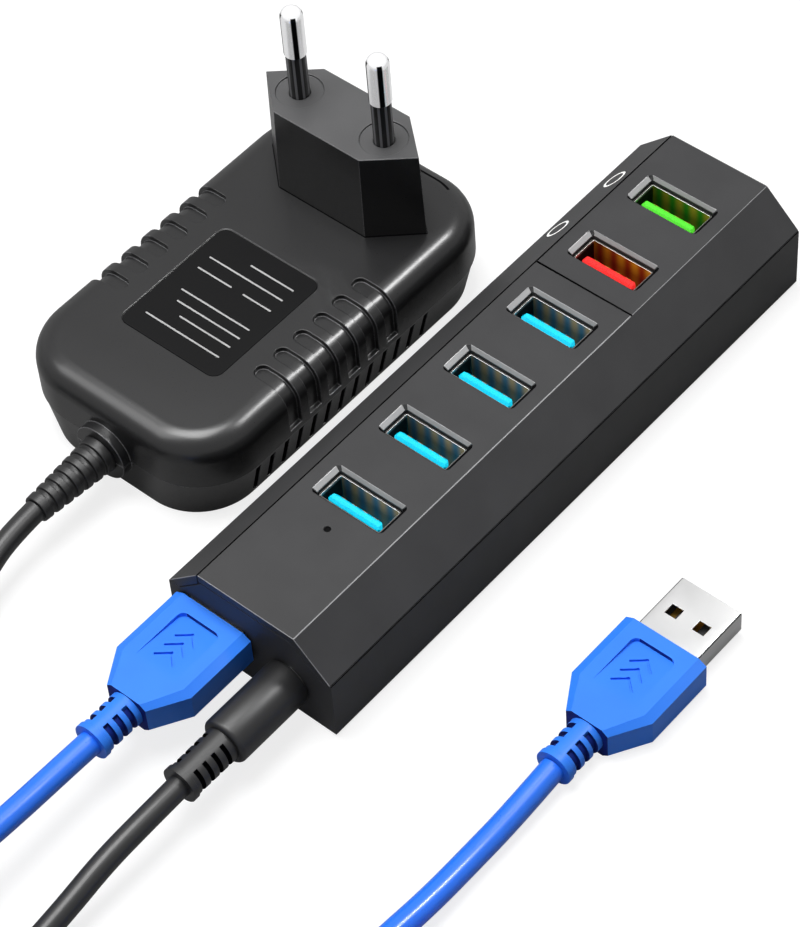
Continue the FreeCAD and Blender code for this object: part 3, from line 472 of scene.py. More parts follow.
def pick(piece: Piece, part: Part, test: Test) -> None:
    """Enter edit mode with only what passes a test selected.

    Args:
        piece: The piece to edit.
        part: What is picked.
        test: Takes the middle, and the normal of a face or the direction of an edge.
    """
    hold(piece)
    bpy.ops.object.mode_set(mode="EDIT")
    bpy.ops.mesh.select_mode(type=part.value)
    bpy.ops.mesh.select_all(action="DESELECT")
    bpy.ops.object.mode_set(mode="OBJECT")
    mesh = piece.data
    if part is Part.FACE:
        for face in mesh.polygons:
            face.select = test(face.center, face.normal)
    elif part is Part.EDGE:
        for edge in mesh.edges:
            a, b = (mesh.vertices[i].co for i in edge.vertices)
            edge.select = test((a + b) / 2, (b - a).normalized())
    else:
        for vertex in mesh.vertices:
            vertex.select = test(vertex.co, vertex.normal)
    bpy.ops.object.mode_set(mode="EDIT")


def done() -> None:
    """Leave edit mode."""
    bpy.ops.object.mode_set(mode="OBJECT")


def shift(piece: Piece, test: Test, move: Sequence[float]) -> None:
    """Move the corners that pass a test."""
    pick(piece, Part.VERT, test)
    bpy.ops.transform.translate(value=tuple(move))
    done()


def extrude(piece: Piece, test: Test, move: Sequence[float], widen: Sequence[float] = (1, 1, 1)) -> None:
    """Extrude the faces that pass a test, and scale the new faces about their middle.

    Args:
        piece: The piece to edit.
        test: Takes a face's middle and normal.
        move: How far the new faces move.
        widen: How much they are scaled along each axis.
    """
    pick(piece, Part.FACE, test)
    bpy.ops.mesh.extrude_region_move(TRANSFORM_OT_translate={"value": tuple(move)})
    if tuple(widen) != (1, 1, 1):
        bpy.ops.transform.resize(value=tuple(widen))
    done()


def round_edges(piece: Piece, test: Test, radius: float, segments: int = 4) -> None:
    """Bevel the edges that pass a test, in edit mode.

    Args:
        piece: The piece to edit.
        test: Takes an edge's middle and direction.
        radius: The width of the bevel.
        segments: How many steps it has.
    """
    pick(piece, Part.EDGE, test)
    bpy.ops.mesh.bevel(offset=radius, segments=segments, affect="EDGES")
    done()


def apply(piece: Piece, kind: str, **settings: object) -> None:
    """Add a modifier of one kind, set it and apply it."""
    hold(piece)
    modifier = piece.modifiers.new(kind.title(), kind)
    for key, value in settings.items():
        setattr(modifier, key, value)
    bpy.ops.object.modifier_apply(modifier=modifier.name)


def cut(piece: Piece, *cutters: Piece) -> None:
    """Take cutters out of a piece and remove them."""
    for cutter in cutters:
        apply(piece, "BOOLEAN", object=cutter, operation="DIFFERENCE", solver="EXACT")
        bpy.data.objects.remove(cutter)


def smooth(piece: Piece, angle: float) -> None:
    """Shade a piece smooth, except at edges sharper than an angle in degrees."""
    hold(piece)
    bpy.ops.object.shade_smooth_by_angle(angle=math.radians(angle))


def soften(piece: Piece, width: float, segments: int = 2, angle: float = 30, edge_slot: int = -1,
           clamp: bool = True) -> None:
    """Round every sharp edge of a piece a little, and shade it smooth between sharp edges.

    Args:
        piece: The piece to finish.
        width: The width of the rounding.
        segments: How many steps it has.
        angle: Edges sharper than this many degrees are rounded.
        edge_slot: The material slot of the rounding, or -1 for that of its neighbours.
        clamp: Whether the width gives way where edges are close.
    """
    smooth(piece, angle)
    apply(piece, "BEVEL", width=width, segments=segments, limit_method="ANGLE",
          angle_limit=math.radians(angle), material=edge_slot, use_clamp_overlap=clamp,
          harden_normals=True)


def merged(node: str, name: str) -> Piece:
    """Copy a CAD node's mesh into a new piece whose flat areas are single faces."""
    piece = bpy.data.objects.new(name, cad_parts[node].data.copy())
    bpy.context.scene.collection.objects.link(piece)
    piece.data.materials.clear()
    hold(piece)
    bpy.ops.mesh.customdata_custom_splitnormals_clear()
    bpy.ops.object.mode_set(mode="EDIT")
    bpy.ops.mesh.select_all(action="SELECT")
    bpy.ops.mesh.remove_doubles(threshold=0.002 * MM)
    bpy.ops.mesh.dissolve_limited(angle_limit=math.radians(0.4))
    done()
    return piece


def dress(piece: Piece, *finishes: Finish) -> Piece:
    """Give a piece its materials, the first one everywhere."""
    piece.data.materials.clear()
    for finish in finishes:
        piece.data.materials.append(material(finish))
    return piece


def mark(piece: Piece, slot: int, test: Callable[[Face], bool]) -> None:
    """Give the faces that pass a test the material of one slot."""
    for face in piece.data.polygons:
        if test(face):
            face.material_index = slot


def hand_over(piece: Piece, body: str, slot: str, *nodes: str) -> Piece:
    """Set a finished piece on its body, in the place of CAD nodes.

    Args:
        piece: The finished piece.
        body: The CAD body it rides on.
        slot: The record's material slot; not used.
        nodes: The CAD nodes that it stands for.

    Returns:
        The piece.
    """
    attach(piece, body)
    if nodes:
        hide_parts(*nodes)
    LOG.info("%s on %s", piece.name, body)
    return piece


def rounded(node: str, name: str, finish: Finish, body: str, slot: str, width: float,
            angle: float = 40, clamp: bool = True) -> Piece:
    """Round the edges of a CAD node's copy, dress it and hand it over.

    Args:
        node: The CAD node.
        name: The piece's name.
        finish: Its finish.
        body: The CAD body it rides on.
        slot: The record's material slot.
        width: The width of the rounding.
        angle: Edges sharper than this many degrees are rounded.
        clamp: Whether the width gives way where edges are close.

    Returns:
        The piece.
    """
    piece = merged(node, name)
    soften(piece, width, 2, angle, clamp=clamp)
    return hand_over(dress(piece, finish), body, slot, node)


def dress_nodes(finish: Finish, *names: str) -> None:
    """Give CAD nodes that keep their shape a finish."""
    for name in names:
        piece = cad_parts[name]
        if not piece.material_slots:
            piece.data.materials.append(None)
        for slot in piece.material_slots:
            slot.material = material(finish)
        LOG.info("%s keeps its shape", name)


def middle(node: str) -> Vector:
    """The middle of a CAD node's box."""
    low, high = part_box(node)
    return (low + high) / 2


def folded_tube(name: str, node: str, axis: int, sheet: float, corner: float) -> Piece:
    """A tube folded from sheet metal in the place of a CAD node, open at both ends.

    Args:
        name: The piece's name.
        node: The CAD node.
        axis: The axis it runs along, 0 for X and 2 for Z.
        sheet: The thickness of the sheet.
        corner: The radius of its folded corners.

    Returns:
        The tube, with its rims softened.
    """
    piece = block(name, *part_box(node))
    round_edges(piece, lambda at, way: abs(way[axis]) > 0.9, corner, 4)
    pick(piece, Part.FACE, lambda at, way: abs(way[axis]) > 0.9)
    bpy.ops.mesh.delete(type="FACE")
    done()
    apply(piece, "SOLIDIFY", thickness=sheet, offset=-1, use_even_offset=True)
    soften(piece, 0.05 * MM, 2, 40)
    return piece


# ------------------------------------------------------------------------------------ hub
@dataclass
class HubCase:
    """The charcoal case of the hub: tray, two covers, trim rail, printed rings, feet and screws.

    Attributes:
        edge: The rounding of its moulded edges.
        recess_top: How far under the roof the port bevels end.
        roof_half: Half the width of the flat roof.
        shoulder: The height where the bevels meet the sides.
        cross_seam: Where the two covers meet.
        seam_close: How far the data cover reaches over the seam below the roof.
        near: How near to a line a face counts as on it.
        ring_places: X, Y and Z of the two printed rings.
        ring_radius: Their radius.
        ring_line: Half the width of their line.
        bevel_normal: The direction that the bevels face.
    """

    edge: float = 0.12 * MM
    recess_top: float = 0.76 * MM
    roof_half: float = 10.22 * MM
    shoulder: float = 13.24 * MM
    cross_seam: float = 23.6 * MM
    seam_close: float = 0.45 * MM
    near: float = 0.2 * MM
    ring_places: tuple[Point, ...] = ((34.7 * MM, 14.5 * MM, 15.94 * MM), (49.1 * MM, 13.4 * MM, 17.0 * MM))
    ring_radius: float = 2.05 * MM
    ring_line: float = 0.26 * MM
    bevel_normal: Point = (0, 6.83, 7.08)

    def build_shells(self) -> None:
        """Round and dress the tray, the covers and the rail."""
        shells = (("lower_shell", "case_tray"), ("data_port_cover", "case_data_cover"),
                  ("charging_port_cover", "case_charging_cover"), ("left_trim_rail", "case_trim_rail"))
        for node, name in shells:
            piece = dress(merged(node, name), CASE, CASE_EDGE_HIGHLIGHT, RECESS, SEAM_AND_SHADE, RECESS_SIDE_PAINTED_LIGHT)
            if node == "data_port_cover":
                self.close_chamfer_seam(piece)
            self.mark_recesses(piece)
            soften(piece, self.edge, 2, 30, clamp=False)
            self.mark_edges(piece)
            hand_over(piece, "hub", "case_plastic", node)

    def mark_recesses(self, piece: Piece) -> None:
        """Give the bevels round the ports their satin finish, painted lighter on those that face -Y and
        painted shade on those that face +X and +Y.
        """
        for face in piece.data.polygons:
            high = CAD_ROOF - self.recess_top < face.center.z < CAD_ROOF - 0.01 * MM
            if not (high and 0.3 < face.normal.z < 0.95 and abs(face.center.y) < 8 * MM):
                continue
            across, along = face.normal.y, face.normal.x
            # Bevels facing +X and +Y get painted shade; those facing -Y get the painted lighter satin.
            if max(across, along) > 0.3 and min(across, along) > -0.6:
                face.material_index = 3
            elif min(abs(across), abs(along)) > 0.22:
                face.material_index = 0
            else:
                face.material_index = 2 if along < -0.3 else 4

    def close_chamfer_seam(self, piece: Piece) -> None:
        """Bring the data cover up to the charging cover below the roof, where no seam shows."""
        across, down = CAD_HUB[1].y - self.roof_half, CAD_ROOF - self.shoulder

        def half_way(at: Vector, way: Vector) -> bool:
            """Whether a spot is the middle of the bevel's end edge."""
            return (abs(at.x - self.cross_seam) < 0.15 * MM
                    and abs(at.y + self.roof_half + across / 2) < 0.3 * MM
                    and abs(at.z - self.shoulder - down / 2) < 0.3 * MM)

        pick(piece, Part.EDGE, half_way)
        bpy.ops.mesh.subdivide(number_cuts=1)
        done()
        shift(piece, half_way, (0, across * 0.485, down * 0.485))
        shift(piece, lambda at, way: abs(at.x - self.cross_seam) < 0.15 * MM
              and at.y < -self.roof_half - 0.04 * MM and at.z > self.shoulder - 0.1 * MM,
              (self.seam_close, 0, 0))

    def mark_edges(self, piece: Piece) -> None:
        """Paint a highlight on the roof's outer edges and its ends, and give the +Y roof edge, the shoulders
        and the cross seam their dark seam colour.
        """
        front, rear = CAD_HUB
        for face in piece.data.polygons:
            x, y, z = face.center
            at_roof = abs(z - CAD_ROOF) < self.near
            if at_roof and 0.86 < face.normal.z < 0.999:
                face.material_index = 0
            at_side = abs(abs(y) - self.roof_half) < self.near and abs(x) < rear.x + MM
            slope = (abs(y) - self.roof_half) * (CAD_ROOF - self.shoulder) \
                + (z - CAD_ROOF) * (rear.y - self.roof_half)
            outer = at_roof or abs(slope) < self.near * (rear.y - self.roof_half) * 1.4
            at_end = min(abs(x - front.x), abs(x - rear.x)) < self.near and z > self.shoulder and outer
            # Slot 1 paints a highlight on the roof's long edges and the outer end edges; the +Y roof edge is
            # a seam and gets the dark of seams.
            if (at_roof and at_side or at_end) and max(abs(c) for c in face.normal) < 0.995:
                face.material_index = 3 if at_side and y > 0 else 1
            at_shoulder = abs(z - self.shoulder) < 0.35 * MM and abs(y) > rear.y - 0.4 * MM
            tilted = max(abs(face.normal.z), abs(face.normal.y)) < 0.98
            at_seam = abs(x - self.cross_seam) < 0.3 * MM and y > -self.roof_half - 0.1 * MM
            if at_shoulder or at_seam and tilted:
                face.material_index = 3

    def build_rings(self) -> None:
        """Print the two plain rings beside the charging ports."""
        turn = Vector(self.bevel_normal).normalized().to_track_quat("Z", "Y").to_euler()
        for number, place in enumerate(self.ring_places, 1):
            bpy.ops.mesh.primitive_torus_add(major_radius=self.ring_radius, minor_radius=self.ring_line,
                                             major_segments=64, minor_segments=10, location=place,
                                             rotation=turn)
            bpy.context.object.scale = (1, 1, 0.12)
            ring = dress(added("printed_ring_%d" % number), PRINT)
            bpy.ops.object.shade_smooth()
            hand_over(ring, "hub", "case_plastic")

    def build(self) -> None:
        """Build the whole case."""
        self.build_shells()
        self.build_rings()
        for node, name, finish, slot in (("rubber_feet", "case_feet", FOOT, "foot_rubber"),
                                         ("shell_screws", "case_screws", SCREW, "plated_steel"),
                                         ("light_pipe", "light_lens", LENS, "clear_plastic")):
            rounded(node, name, finish, "hub", slot, 0.08 * MM, 35)


class PortKind(Enum):
    """The colour code of a port: its tongue, its metal and its slot."""

    DATA = (TONGUE_BLUE, SOCKET_BLUE, "blue_tongue")
    FAST = (TONGUE_RED, SOCKET_RED, "red_tongue")
    SMART = (TONGUE_GREEN, SOCKET_GREEN, "green_tongue")


@dataclass
class Port:
    """One upright socket: its folded metal tube and its coloured tongue.

    Attributes:
        number: Its place along the hub, from 1.
        kind: Its colour code.
        sheet: The thickness of its metal.
        corner: The radius of the tube's corners.
        sink: How much shorter the tongue is than its room.
        blade: How far the tongue's middle is behind that of its tube.
        end_bevels: The bevels of the tongue's ends on its far side and on its near side.
    """

    number: int
    kind: PortKind
    sheet: float = 0.3 * MM
    corner: float = 0.55 * MM
    sink: float = 0.45 * MM
    blade: float = 1.1 * MM
    end_bevels: tuple[float, float] = (0.85 * MM, 0.35 * MM)

    def build(self) -> None:
        """Build the tube and the tongue."""
        tongue_finish, metal, slot = self.kind.value
        node = "port_shell_%d" % self.number
        tube = folded_tube("socket_tube_%d" % self.number, node, 2, self.sheet, self.corner)
        mark(dress(tube, metal, RIM), 1, lambda face: face.normal.z > 0.95)
        hand_over(tube, "hub", "plated_steel", node)
        node = "port_tongue_%d" % self.number
        tongue = merged(node, "socket_tongue_%d" % self.number)
        low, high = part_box(node)
        shift(tongue, lambda at, way: at.z > high.z - 1.6 * MM, (0, 0, -self.sink))
        centre = (low.x + high.x) / 2 - self.blade
        for far, width in zip((True, False), self.end_bevels):
            round_edges(tongue, lambda at, way: abs(way.z) > 0.9 and at.z > (low.z + high.z) / 2
                        and abs(at.y) > 3 * MM and (at.x > centre) == far, width, 1)
        soften(tongue, 0.07 * MM, 2, 30)
        hand_over(dress(tongue, tongue_finish), "hub", slot, node)


def build_hub_inside() -> None:
    """Build the sideways socket, and dress the power jack, the board and its parts."""
    tube = folded_tube("upstream_tube", "upstream_shell", 0, 0.3 * MM, 0.55 * MM)
    hand_over(dress(tube, PLATED), "hub", "plated_steel", "upstream_shell")
    rounded("upstream_tongue", "upstream_tongue_moulding", TONGUE_BLUE, "hub", "blue_tongue", 0.07 * MM, 30)
    dress_nodes(GOLD, "port_contacts", "upstream_contacts")
    dress_nodes(BOARD, "main_board")
    dress_nodes(CHIP, "controller_chips")
    dress_nodes(FERRITE, "power_inductor")
    dress_nodes(CAN, "filter_capacitors", "clock_crystal")
    dress_nodes(NATURAL, "status_led")
    dress_nodes(BLACK_GRIP, "dc_jack_housing")
    dress_nodes(PLATED, "dc_jack_pin", "dc_jack_spring")


# ------------------------------------------------------------------------------------ plugs
@dataclass
class DataPlug:
    """A blue moulded plug with its metal tube and bend relief.

    Attributes:
        prefix: The start of its CAD nodes' names.
        straight: The length of the grip's straight part.
        rear_width: The grip's width at its rear.
        bevel_in: How far the long bevels reach in.
        rear_bevel_in: The same at the rear.
        bevel_down: How far the bevels reach down.
        thumb_start: From the grip's front to the thumb recess.
        thumb_end: From the grip's front to where the recess fades out.
        thumb_half: Half the recess's width.
        thumb_depth: Its depth at the front.
        chevrons: From the grip's front to each chevron's tip, and how deep it is cut.
        arm: The size of half a chevron.
        lean: How far it is turned in degrees.
        window: Half the size of a latch window.
        window_at: How far it is from the tube's front and from its middle.
        slit: Half the width of the tube's seam.
        slots: How many slots each side of the bend relief has.
        cord: The cord's diameter.
    """

    prefix: str
    straight: float = 13.9 * MM
    rear_width: float = 8.3 * MM
    bevel_in: float = 1.6 * MM
    rear_bevel_in: float = 1.09 * MM
    bevel_down: float = 0.9 * MM
    thumb_start: float = 2.6 * MM
    thumb_end: float = 13.8 * MM
    thumb_half: float = 4.2 * MM
    thumb_depth: float = 0.85 * MM
    chevrons: tuple[tuple[float, float], ...] = (
        (4.9 * MM, 1.15 * MM), (7.3 * MM, 1.0 * MM), (9.7 * MM, 0.85 * MM))
    arm: Point = (3.1 * MM, 0.4 * MM, 1 * MM)
    lean: float = 48
    window: Point = (1.1 * MM, 1.15 * MM, 4 * MM)
    window_at: tuple[float, float] = (6.3 * MM, 2.75 * MM)
    slit: float = 0.04 * MM
    slots: int = 3
    cord: float = 4.3 * MM

    def build_grip(self) -> Piece:
        """Shape the grip from a block: taper it, bevel its long sides and sink its thumb recess."""
        node = self.prefix + "_grip"
        low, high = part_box(node)
        y = middle(node).y
        half = (high.y - low.y) / 2
        shoulder = high.x - self.straight
        grip = block(self.prefix + "_moulding", (shoulder, low.y, low.z + self.bevel_down),
                     (high.x, high.y, high.z - self.bevel_down))
        extrude(grip, lambda at, way: way.x < -0.9, (low.x - shoulder, 0, 0),
                (1, self.rear_width / 2 / half, 1))
        for side, edge in ((-1, low.z), (1, high.z)):
            extrude(grip, lambda at, way: way.z * side > 0.9, (0, 0, side * self.bevel_down))
            for rear, narrow in ((False, 1 - self.bevel_in / half),
                                 (True, 1 - self.rear_bevel_in / (self.rear_width / 2))):
                pick(grip, Part.VERT, lambda at, way: abs(at.z - edge) < 0.01 * MM
                     and (at.x < low.x + 0.1 * MM) == rear)
                bpy.ops.transform.resize(value=(1, narrow, 1), center_override=(low.x, y, edge))
                done()
        cut(grip, self.thumb_cutter(high, y), self.seat_cutter(high), *self.arrow_cutters(high, y))
        soften(grip, 0.16 * MM, 3, 20)
        # The rear face gets painted shade.
        mark(dress(grip, BLUE_GRIP, BLUE_SHADE), 1, lambda face: face.normal.x < -0.95)
        return hand_over(grip, "data_cable", "blue_grip", node)

    def thumb_cutter(self, high: Vector, y: float) -> Piece:
        """The wedge that sinks the thumb recess, deepest at the front."""
        x0, x1 = high.x - self.thumb_end, high.x - self.thumb_start
        wedge = block("thumb_cutter", (x0, y - self.thumb_half, high.z - self.thumb_depth),
                      (x1, y + self.thumb_half, high.z + 1 * MM))
        shift(wedge, lambda at, way: at.z < high.z and at.x < (x0 + x1) / 2,
              (0, 0, self.thumb_depth + 0.02 * MM))
        round_edges(wedge, lambda at, way: abs(way.z) > 0.9 and at.x > (x0 + x1) / 2, 1.3 * MM, 6)
        return wedge

    def seat_cutter(self, high: Vector) -> Piece:
        """The block that makes room for the metal tube in the grip."""
        low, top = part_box(self.prefix + "_shell")
        return block("seat_cutter", low, (high.x + 1 * MM, top.y, top.z))

    def arrow_cutters(self, high: Vector, y: float) -> list[Piece]:
        """The plain chevrons that are engraved in the recess."""
        cutters = []
        for x, depth in self.chevrons:
            for side in (-1, 1):
                spot = (high.x - x - 0.85 * MM, y + side * 0.95 * MM, high.z - depth + 0.5 * MM)
                bpy.ops.mesh.primitive_cube_add(size=1, location=spot, scale=self.arm,
                                                rotation=(0, 0, -side * math.radians(self.lean)))
                cutters.append(added("arrow_cutter"))
        return cutters

    def build_metal(self) -> Piece:
        """Fold the plug's tube and cut its latch windows and its seam."""
        node = self.prefix + "_shell"
        low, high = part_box(node)
        y, z = middle(node).y, middle(node).z
        tube = folded_tube(self.prefix + "_tube", node, 0, 0.3 * MM, 0.4 * MM)
        back, aside = self.window_at
        for side in (-1, 1):
            place, reach = Vector((high.x - back, y + side * aside, z)), Vector(self.window)
            cut(tube, block("window_cutter", place - reach, place + reach))
        cut(tube, block("seam_cutter", (low.x - MM, y - self.slit, low.z - MM),
                        (high.x + MM, y + self.slit, low.z + MM)))
        soften(tube, 0.05 * MM, 2, 50)
        # The rounded corners get painted shade.
        mark(dress(tube, PLATED, FOLD_SHADE), 1,
             lambda face: min(abs(face.normal.y), abs(face.normal.z)) > 0.35 and face.area > 1e-7)
        return hand_over(tube, "data_cable", "plated_steel", node)

    def build(self) -> list[Piece]:
        """Build the plug.

        Returns:
            Every piece that goes with the cord.
        """
        made = [self.build_grip(), self.build_metal(),
                BendRelief(self.prefix + "_boot", self.slots, self.cord, "data_cable", BLUE_GRIP,
                           BLUE_SHADE, "blue_grip").build()]
        for part, finish in (("_insulator", CHIP), ("_contacts", GOLD)):
            dress_nodes(finish, self.prefix + part)
            made.append(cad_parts[self.prefix + part])
        return made


@dataclass
class BendRelief:
    """A slotted rubber collar that lets the cord bend where it leaves a plug.

    Attributes:
        node: Its CAD node.
        slots: How many slots each side has.
        cord: The cord's diameter.
        body: The body it rides on.
        finish: Its finish.
        shade: The painted shade inside its slots.
        slot: Its material slot.
        root_radius: Its radius at the plug.
        waist_radius: Its radius before the end ring.
        ring: The length of the end ring.
        gap: The width of a slot.
        spine: Half the width of the ridge left above and below.
    """

    node: str
    slots: int
    cord: float
    body: str
    finish: Finish
    shade: Finish
    slot: str
    root_radius: float = 3.2 * MM
    waist_radius: float = 3.1 * MM
    ring: float = 1.1 * MM
    gap: float = 1.1 * MM
    spine: float = 1.15 * MM

    def build(self) -> Piece:
        """Turn the collar and cut its slots.

        Returns:
            The collar.
        """
        low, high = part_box(self.node)
        y, z = middle(self.node).y, middle(self.node).z
        ring_x = low.x + self.ring
        collar = bar(self.node + "_collar", (high.x, y, z), (ring_x, y, z), self.root_radius,
                     self.waist_radius, 72)
        grow = (high.y - low.y) / 2 / self.waist_radius
        extrude(collar, lambda at, way: way.x < -0.9, (0, 0, 0), (1, grow, grow))
        extrude(collar, lambda at, way: way.x < -0.9 and at.x < ring_x + 0.1 * MM, (-self.ring, 0, 0))
        pitch = (high.x - ring_x) / (self.slots + 0.5)
        core = self.cord / 2 + 0.3 * MM
        for i in range(self.slots):
            x = ring_x + pitch * (i + 0.42)
            before, behind = x - MM, x + 2 * MM
            cutter = bar("slot_cutter", (x, y, z), (x + self.gap, y, z), 5 * MM, sides=48)
            cut(cutter, bar("core_cutter", (before, y, z), (behind, y, z), core, sides=48),
                block("spine_cutter", (before, y - self.spine, z - 6 * MM),
                      (behind, y + self.spine, z + 6 * MM)))
            cut(collar, cutter)
        soften(collar, 0.16 * MM, 3, 35)

        def in_slot(face: Face) -> bool:
            """Whether a face is in a slot, on its floor or on one of its walls."""
            spot = face.center
            floor = math.hypot(spot.y - y, spot.z - z) < self.waist_radius - 0.3 * MM
            return (ring_x + 0.2 * MM < spot.x < high.x - 0.3 * MM
                    and (floor or abs(face.normal.x) > 0.8))

        # The slots' floors and walls get painted shade.
        mark(dress(collar, self.finish, self.shade), 1, in_slot)
        return hand_over(collar, self.body, self.slot, self.node)


@dataclass
class PowerPlug:
    """The round black power plug with its barrel and bend relief.

    Attributes:
        rear_bevel: The bevel at the grip's rear.
        front_bevel: The bevel at its front.
        slots: How many slots each side of the bend relief has.
        cord: The cord's diameter.
    """

    rear_bevel: float = 0.8 * MM
    front_bevel: float = 0.35 * MM
    slots: int = 4
    cord: float = 4.0 * MM

    def build(self) -> list[Piece]:
        """Build the plug.

        Returns:
            Every piece that goes with the cord.
        """
        low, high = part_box("dc_plug_grip")
        at = middle("dc_plug_grip")
        grip = bar("power_plug_moulding", (low.x, at.y, at.z), (high.x, at.y, at.z),
                   (high.y - low.y) / 2, sides=96)
        for end, bevel, segments in ((low.x, self.rear_bevel, 5), (high.x, self.front_bevel, 3)):
            round_edges(grip, lambda spot, way: abs(spot.x - end) < 0.1 * MM and abs(way.x) < 0.1,
                        bevel, segments)
        barrel_low, barrel_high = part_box("dc_plug_barrel")
        cut(grip, bar("seat_cutter", (barrel_low.x, at.y, at.z), (high.x + MM, at.y, at.z),
                      (barrel_high.y - barrel_low.y) / 2))
        smooth(grip, 30)
        hand_over(dress(grip, BLACK_GRIP), "power_lead", "black_grip", "dc_plug_grip")
        # Its slots get the near-black painted shade.
        boot = BendRelief("dc_plug_boot", self.slots, self.cord, "power_lead", BLACK_GRIP,
                          SEAM_AND_SHADE, "black_grip", gap=0.82 * MM, spine=1.5 * MM).build()
        barrel = rounded("dc_plug_barrel", "power_plug_barrel", CHROME, "power_lead", "bright_plate",
                         0.12 * MM)
        dress_nodes(SLEEVE, "dc_plug_insulator")
        return [grip, boot, barrel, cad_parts["dc_plug_insulator"]]


# ------------------------------------------------------------------------------------ cords
@dataclass
class Coil:
    """A neat two-layer coil: it winds in along the table and out again on top.

    Attributes:
        start: Where the cord comes in, heading +X, on the table.
        outer: The radius of the outermost turn's middle line.
        inner: The radius of the innermost one.
        turns: How many turns each layer has.
        lift: The rise from one layer to the next.
        side: 1 where the coil's middle is on the +Y side of its start, and -1 on the other.
        points_per_turn: How many control points one turn has.
    """

    start: Point
    outer: float
    inner: float
    turns: float
    lift: float
    side: int
    points_per_turn: int = 24

    def points(self) -> list[Point]:
        """The control points of the coil, without its first."""
        steps = round(self.turns * self.points_per_turn)
        swell = 1 / math.cos(math.pi / self.points_per_turn)
        x0, y0, z0 = self.start
        centre = y0 + self.side * self.outer
        found = []
        for i in range(1, 2 * steps):
            share = i / steps
            depth = share if share < 1 else 2 - share
            radius = self.outer + (self.inner - self.outer) * depth
            if 1 < i < 2 * steps - 1:
                radius *= swell
            angle = self.side * (2 * math.pi * i / self.points_per_turn - math.pi / 2)
            climb = min(1.0, max(0.0, (i - steps) / (self.points_per_turn / 4) + 0.5))
            found.append((x0 + radius * math.cos(angle), centre + radius * math.sin(angle),
                          z0 + self.lift * climb))
        return found


@dataclass
class Cord:
    """One free cord as a smooth line through its route and its coil.

    Attributes:
        name: The piece's name.
        body: The body it rides on.
        finish: Its jacket.
        slot: Its material slot.
        diameter: Its diameter.
        before: The route's points up to the coil.
        coil: The coil.
        after: The route's points from the coil on.
        nodes: The CAD nodes that it stands for.
        tie_half: Half the width of a tie.
        tie_room: The room that a tie leaves round the cord.
    """

    name: str
    body: str
    finish: Finish
    slot: str
    diameter: float
    before: Sequence[Point]
    coil: Coil
    after: Sequence[Point]
    nodes: Sequence[str]
    tie_half: float = 3.5 * MM
    tie_room: float = 0.35 * MM

    def build(self) -> Piece:
        """Lay the cord.

        Returns:
            The cord.
        """
        points = [*self.before, *self.coil.points(), *self.after]
        curve = bpy.data.curves.new(self.name, "CURVE")
        curve.dimensions = "3D"
        curve.bevel_depth = self.diameter / 2
        curve.bevel_resolution = 6
        curve.resolution_u = 6
        curve.use_fill_caps = True
        spline = curve.splines.new("NURBS")
        spline.points.add(len(points) - 1)
        for control, place in zip(spline.points, points):
            control.co = (*place, 1)
        spline.order_u = 3
        spline.use_endpoint_u = True
        spline.use_smooth = True
        cord = bpy.data.objects.new(self.name, curve)
        bpy.context.scene.collection.objects.link(cord)
        curve.materials.append(material(self.finish))
        return hand_over(cord, self.body, self.slot, *self.nodes)

    def build_ties(self) -> list[Piece]:
        """Strap the coil at two places.

        Returns:
            The straps.
        """
        x0, y0, _ = self.coil.start
        centre = y0 + self.coil.side * self.coil.outer
        top = 2 * self.diameter + self.tie_room
        straps = []
        for number, way in enumerate((-1, 1), 1):
            low_x, high_x = sorted(x0 + way * (radius + end * (self.diameter / 2 + self.tie_room))
                                   for radius, end in ((self.coil.inner, -1), (self.coil.outer, 1)))
            strap = block("%s_tie_%d" % (self.name, number), (low_x, centre - self.tie_half, 0),
                          (high_x, centre + self.tie_half, top))
            inner = block("tie_cutter", (low_x + 0.5 * MM, centre - 2 * self.tie_half, 0.3 * MM),
                          (high_x - 0.5 * MM, centre + 2 * self.tie_half, top - 0.5 * MM))
            for piece, corner in ((strap, 2.0 * MM), (inner, 1.7 * MM)):
                round_edges(piece, lambda at, along: abs(along.y) > 0.9, corner, 5)
            cut(strap, inner)
            soften(strap, 0.12 * MM, 2, 40)
            straps.append(hand_over(dress(strap, TIE), self.body, "black_grip"))
        return straps


def metres(*points: Point) -> list[Point]:
    """Points given in millimetres, in metres."""
    return [tuple(round(c * MM, 7) for c in p) for p in points]


HUB_RUN = metres(
    (-90.5, 7.3, 9.6), (-98.5, 7.4, 9.7), (-107.0, 7.2, 10.2), (-118.6, 7.3, 10.9), (-130.1, 1.7, 11.2),
    (-138.1, -8.4, 11.2), (-141.0, -21.0, 8.6), (-138.1, -33.5, 5.0), (-130.5, -43.5, 2.8),
    (-121.2, -48.6, 2.15), (-113.3, -50.1, 2.15), (-106.0, -49.5, 2.15))
HOST_RUN = metres(
    (-106.0, -49.5, 6.45), (-97.0, -49.9, 6.0), (-87.0, -49.7, 4.6), (-77.0, -49.9, 3.3),
    (-67.0, -49.7, 2.6), (-56.6, -49.8, 2.8), (-46.6, -49.5, 3.4))
PLUG_RUN = metres(
    (-87.2, -8.3, 8.1), (-95.6, -8.4, 8.0), (-104.2, -8.2, 7.1), (-113.0, -8.4, 5.3), (-123.4, -8.2, 3.2),
    (-132.9, -3.6, 2.15), (-139.6, 4.9, 2.0), (-141.9, 15.4, 2.0), (-139.5, 26.0, 2.0),
    (-132.8, 34.3, 2.0), (-123.4, 38.9, 2.0), (-113.6, 39.4, 2.0), (-107.0, 39.1, 2.0))
ADAPTER_RUN = metres(
    (-107.0, 39.1, 6.0), (-97.0, 39.5, 5.9), (-86.0, 42.3, 6.2), (-76.0, 45.9, 7.2), (-69.0, 47.3, 8.2),
    (-62.0, 47.5, 8.6))
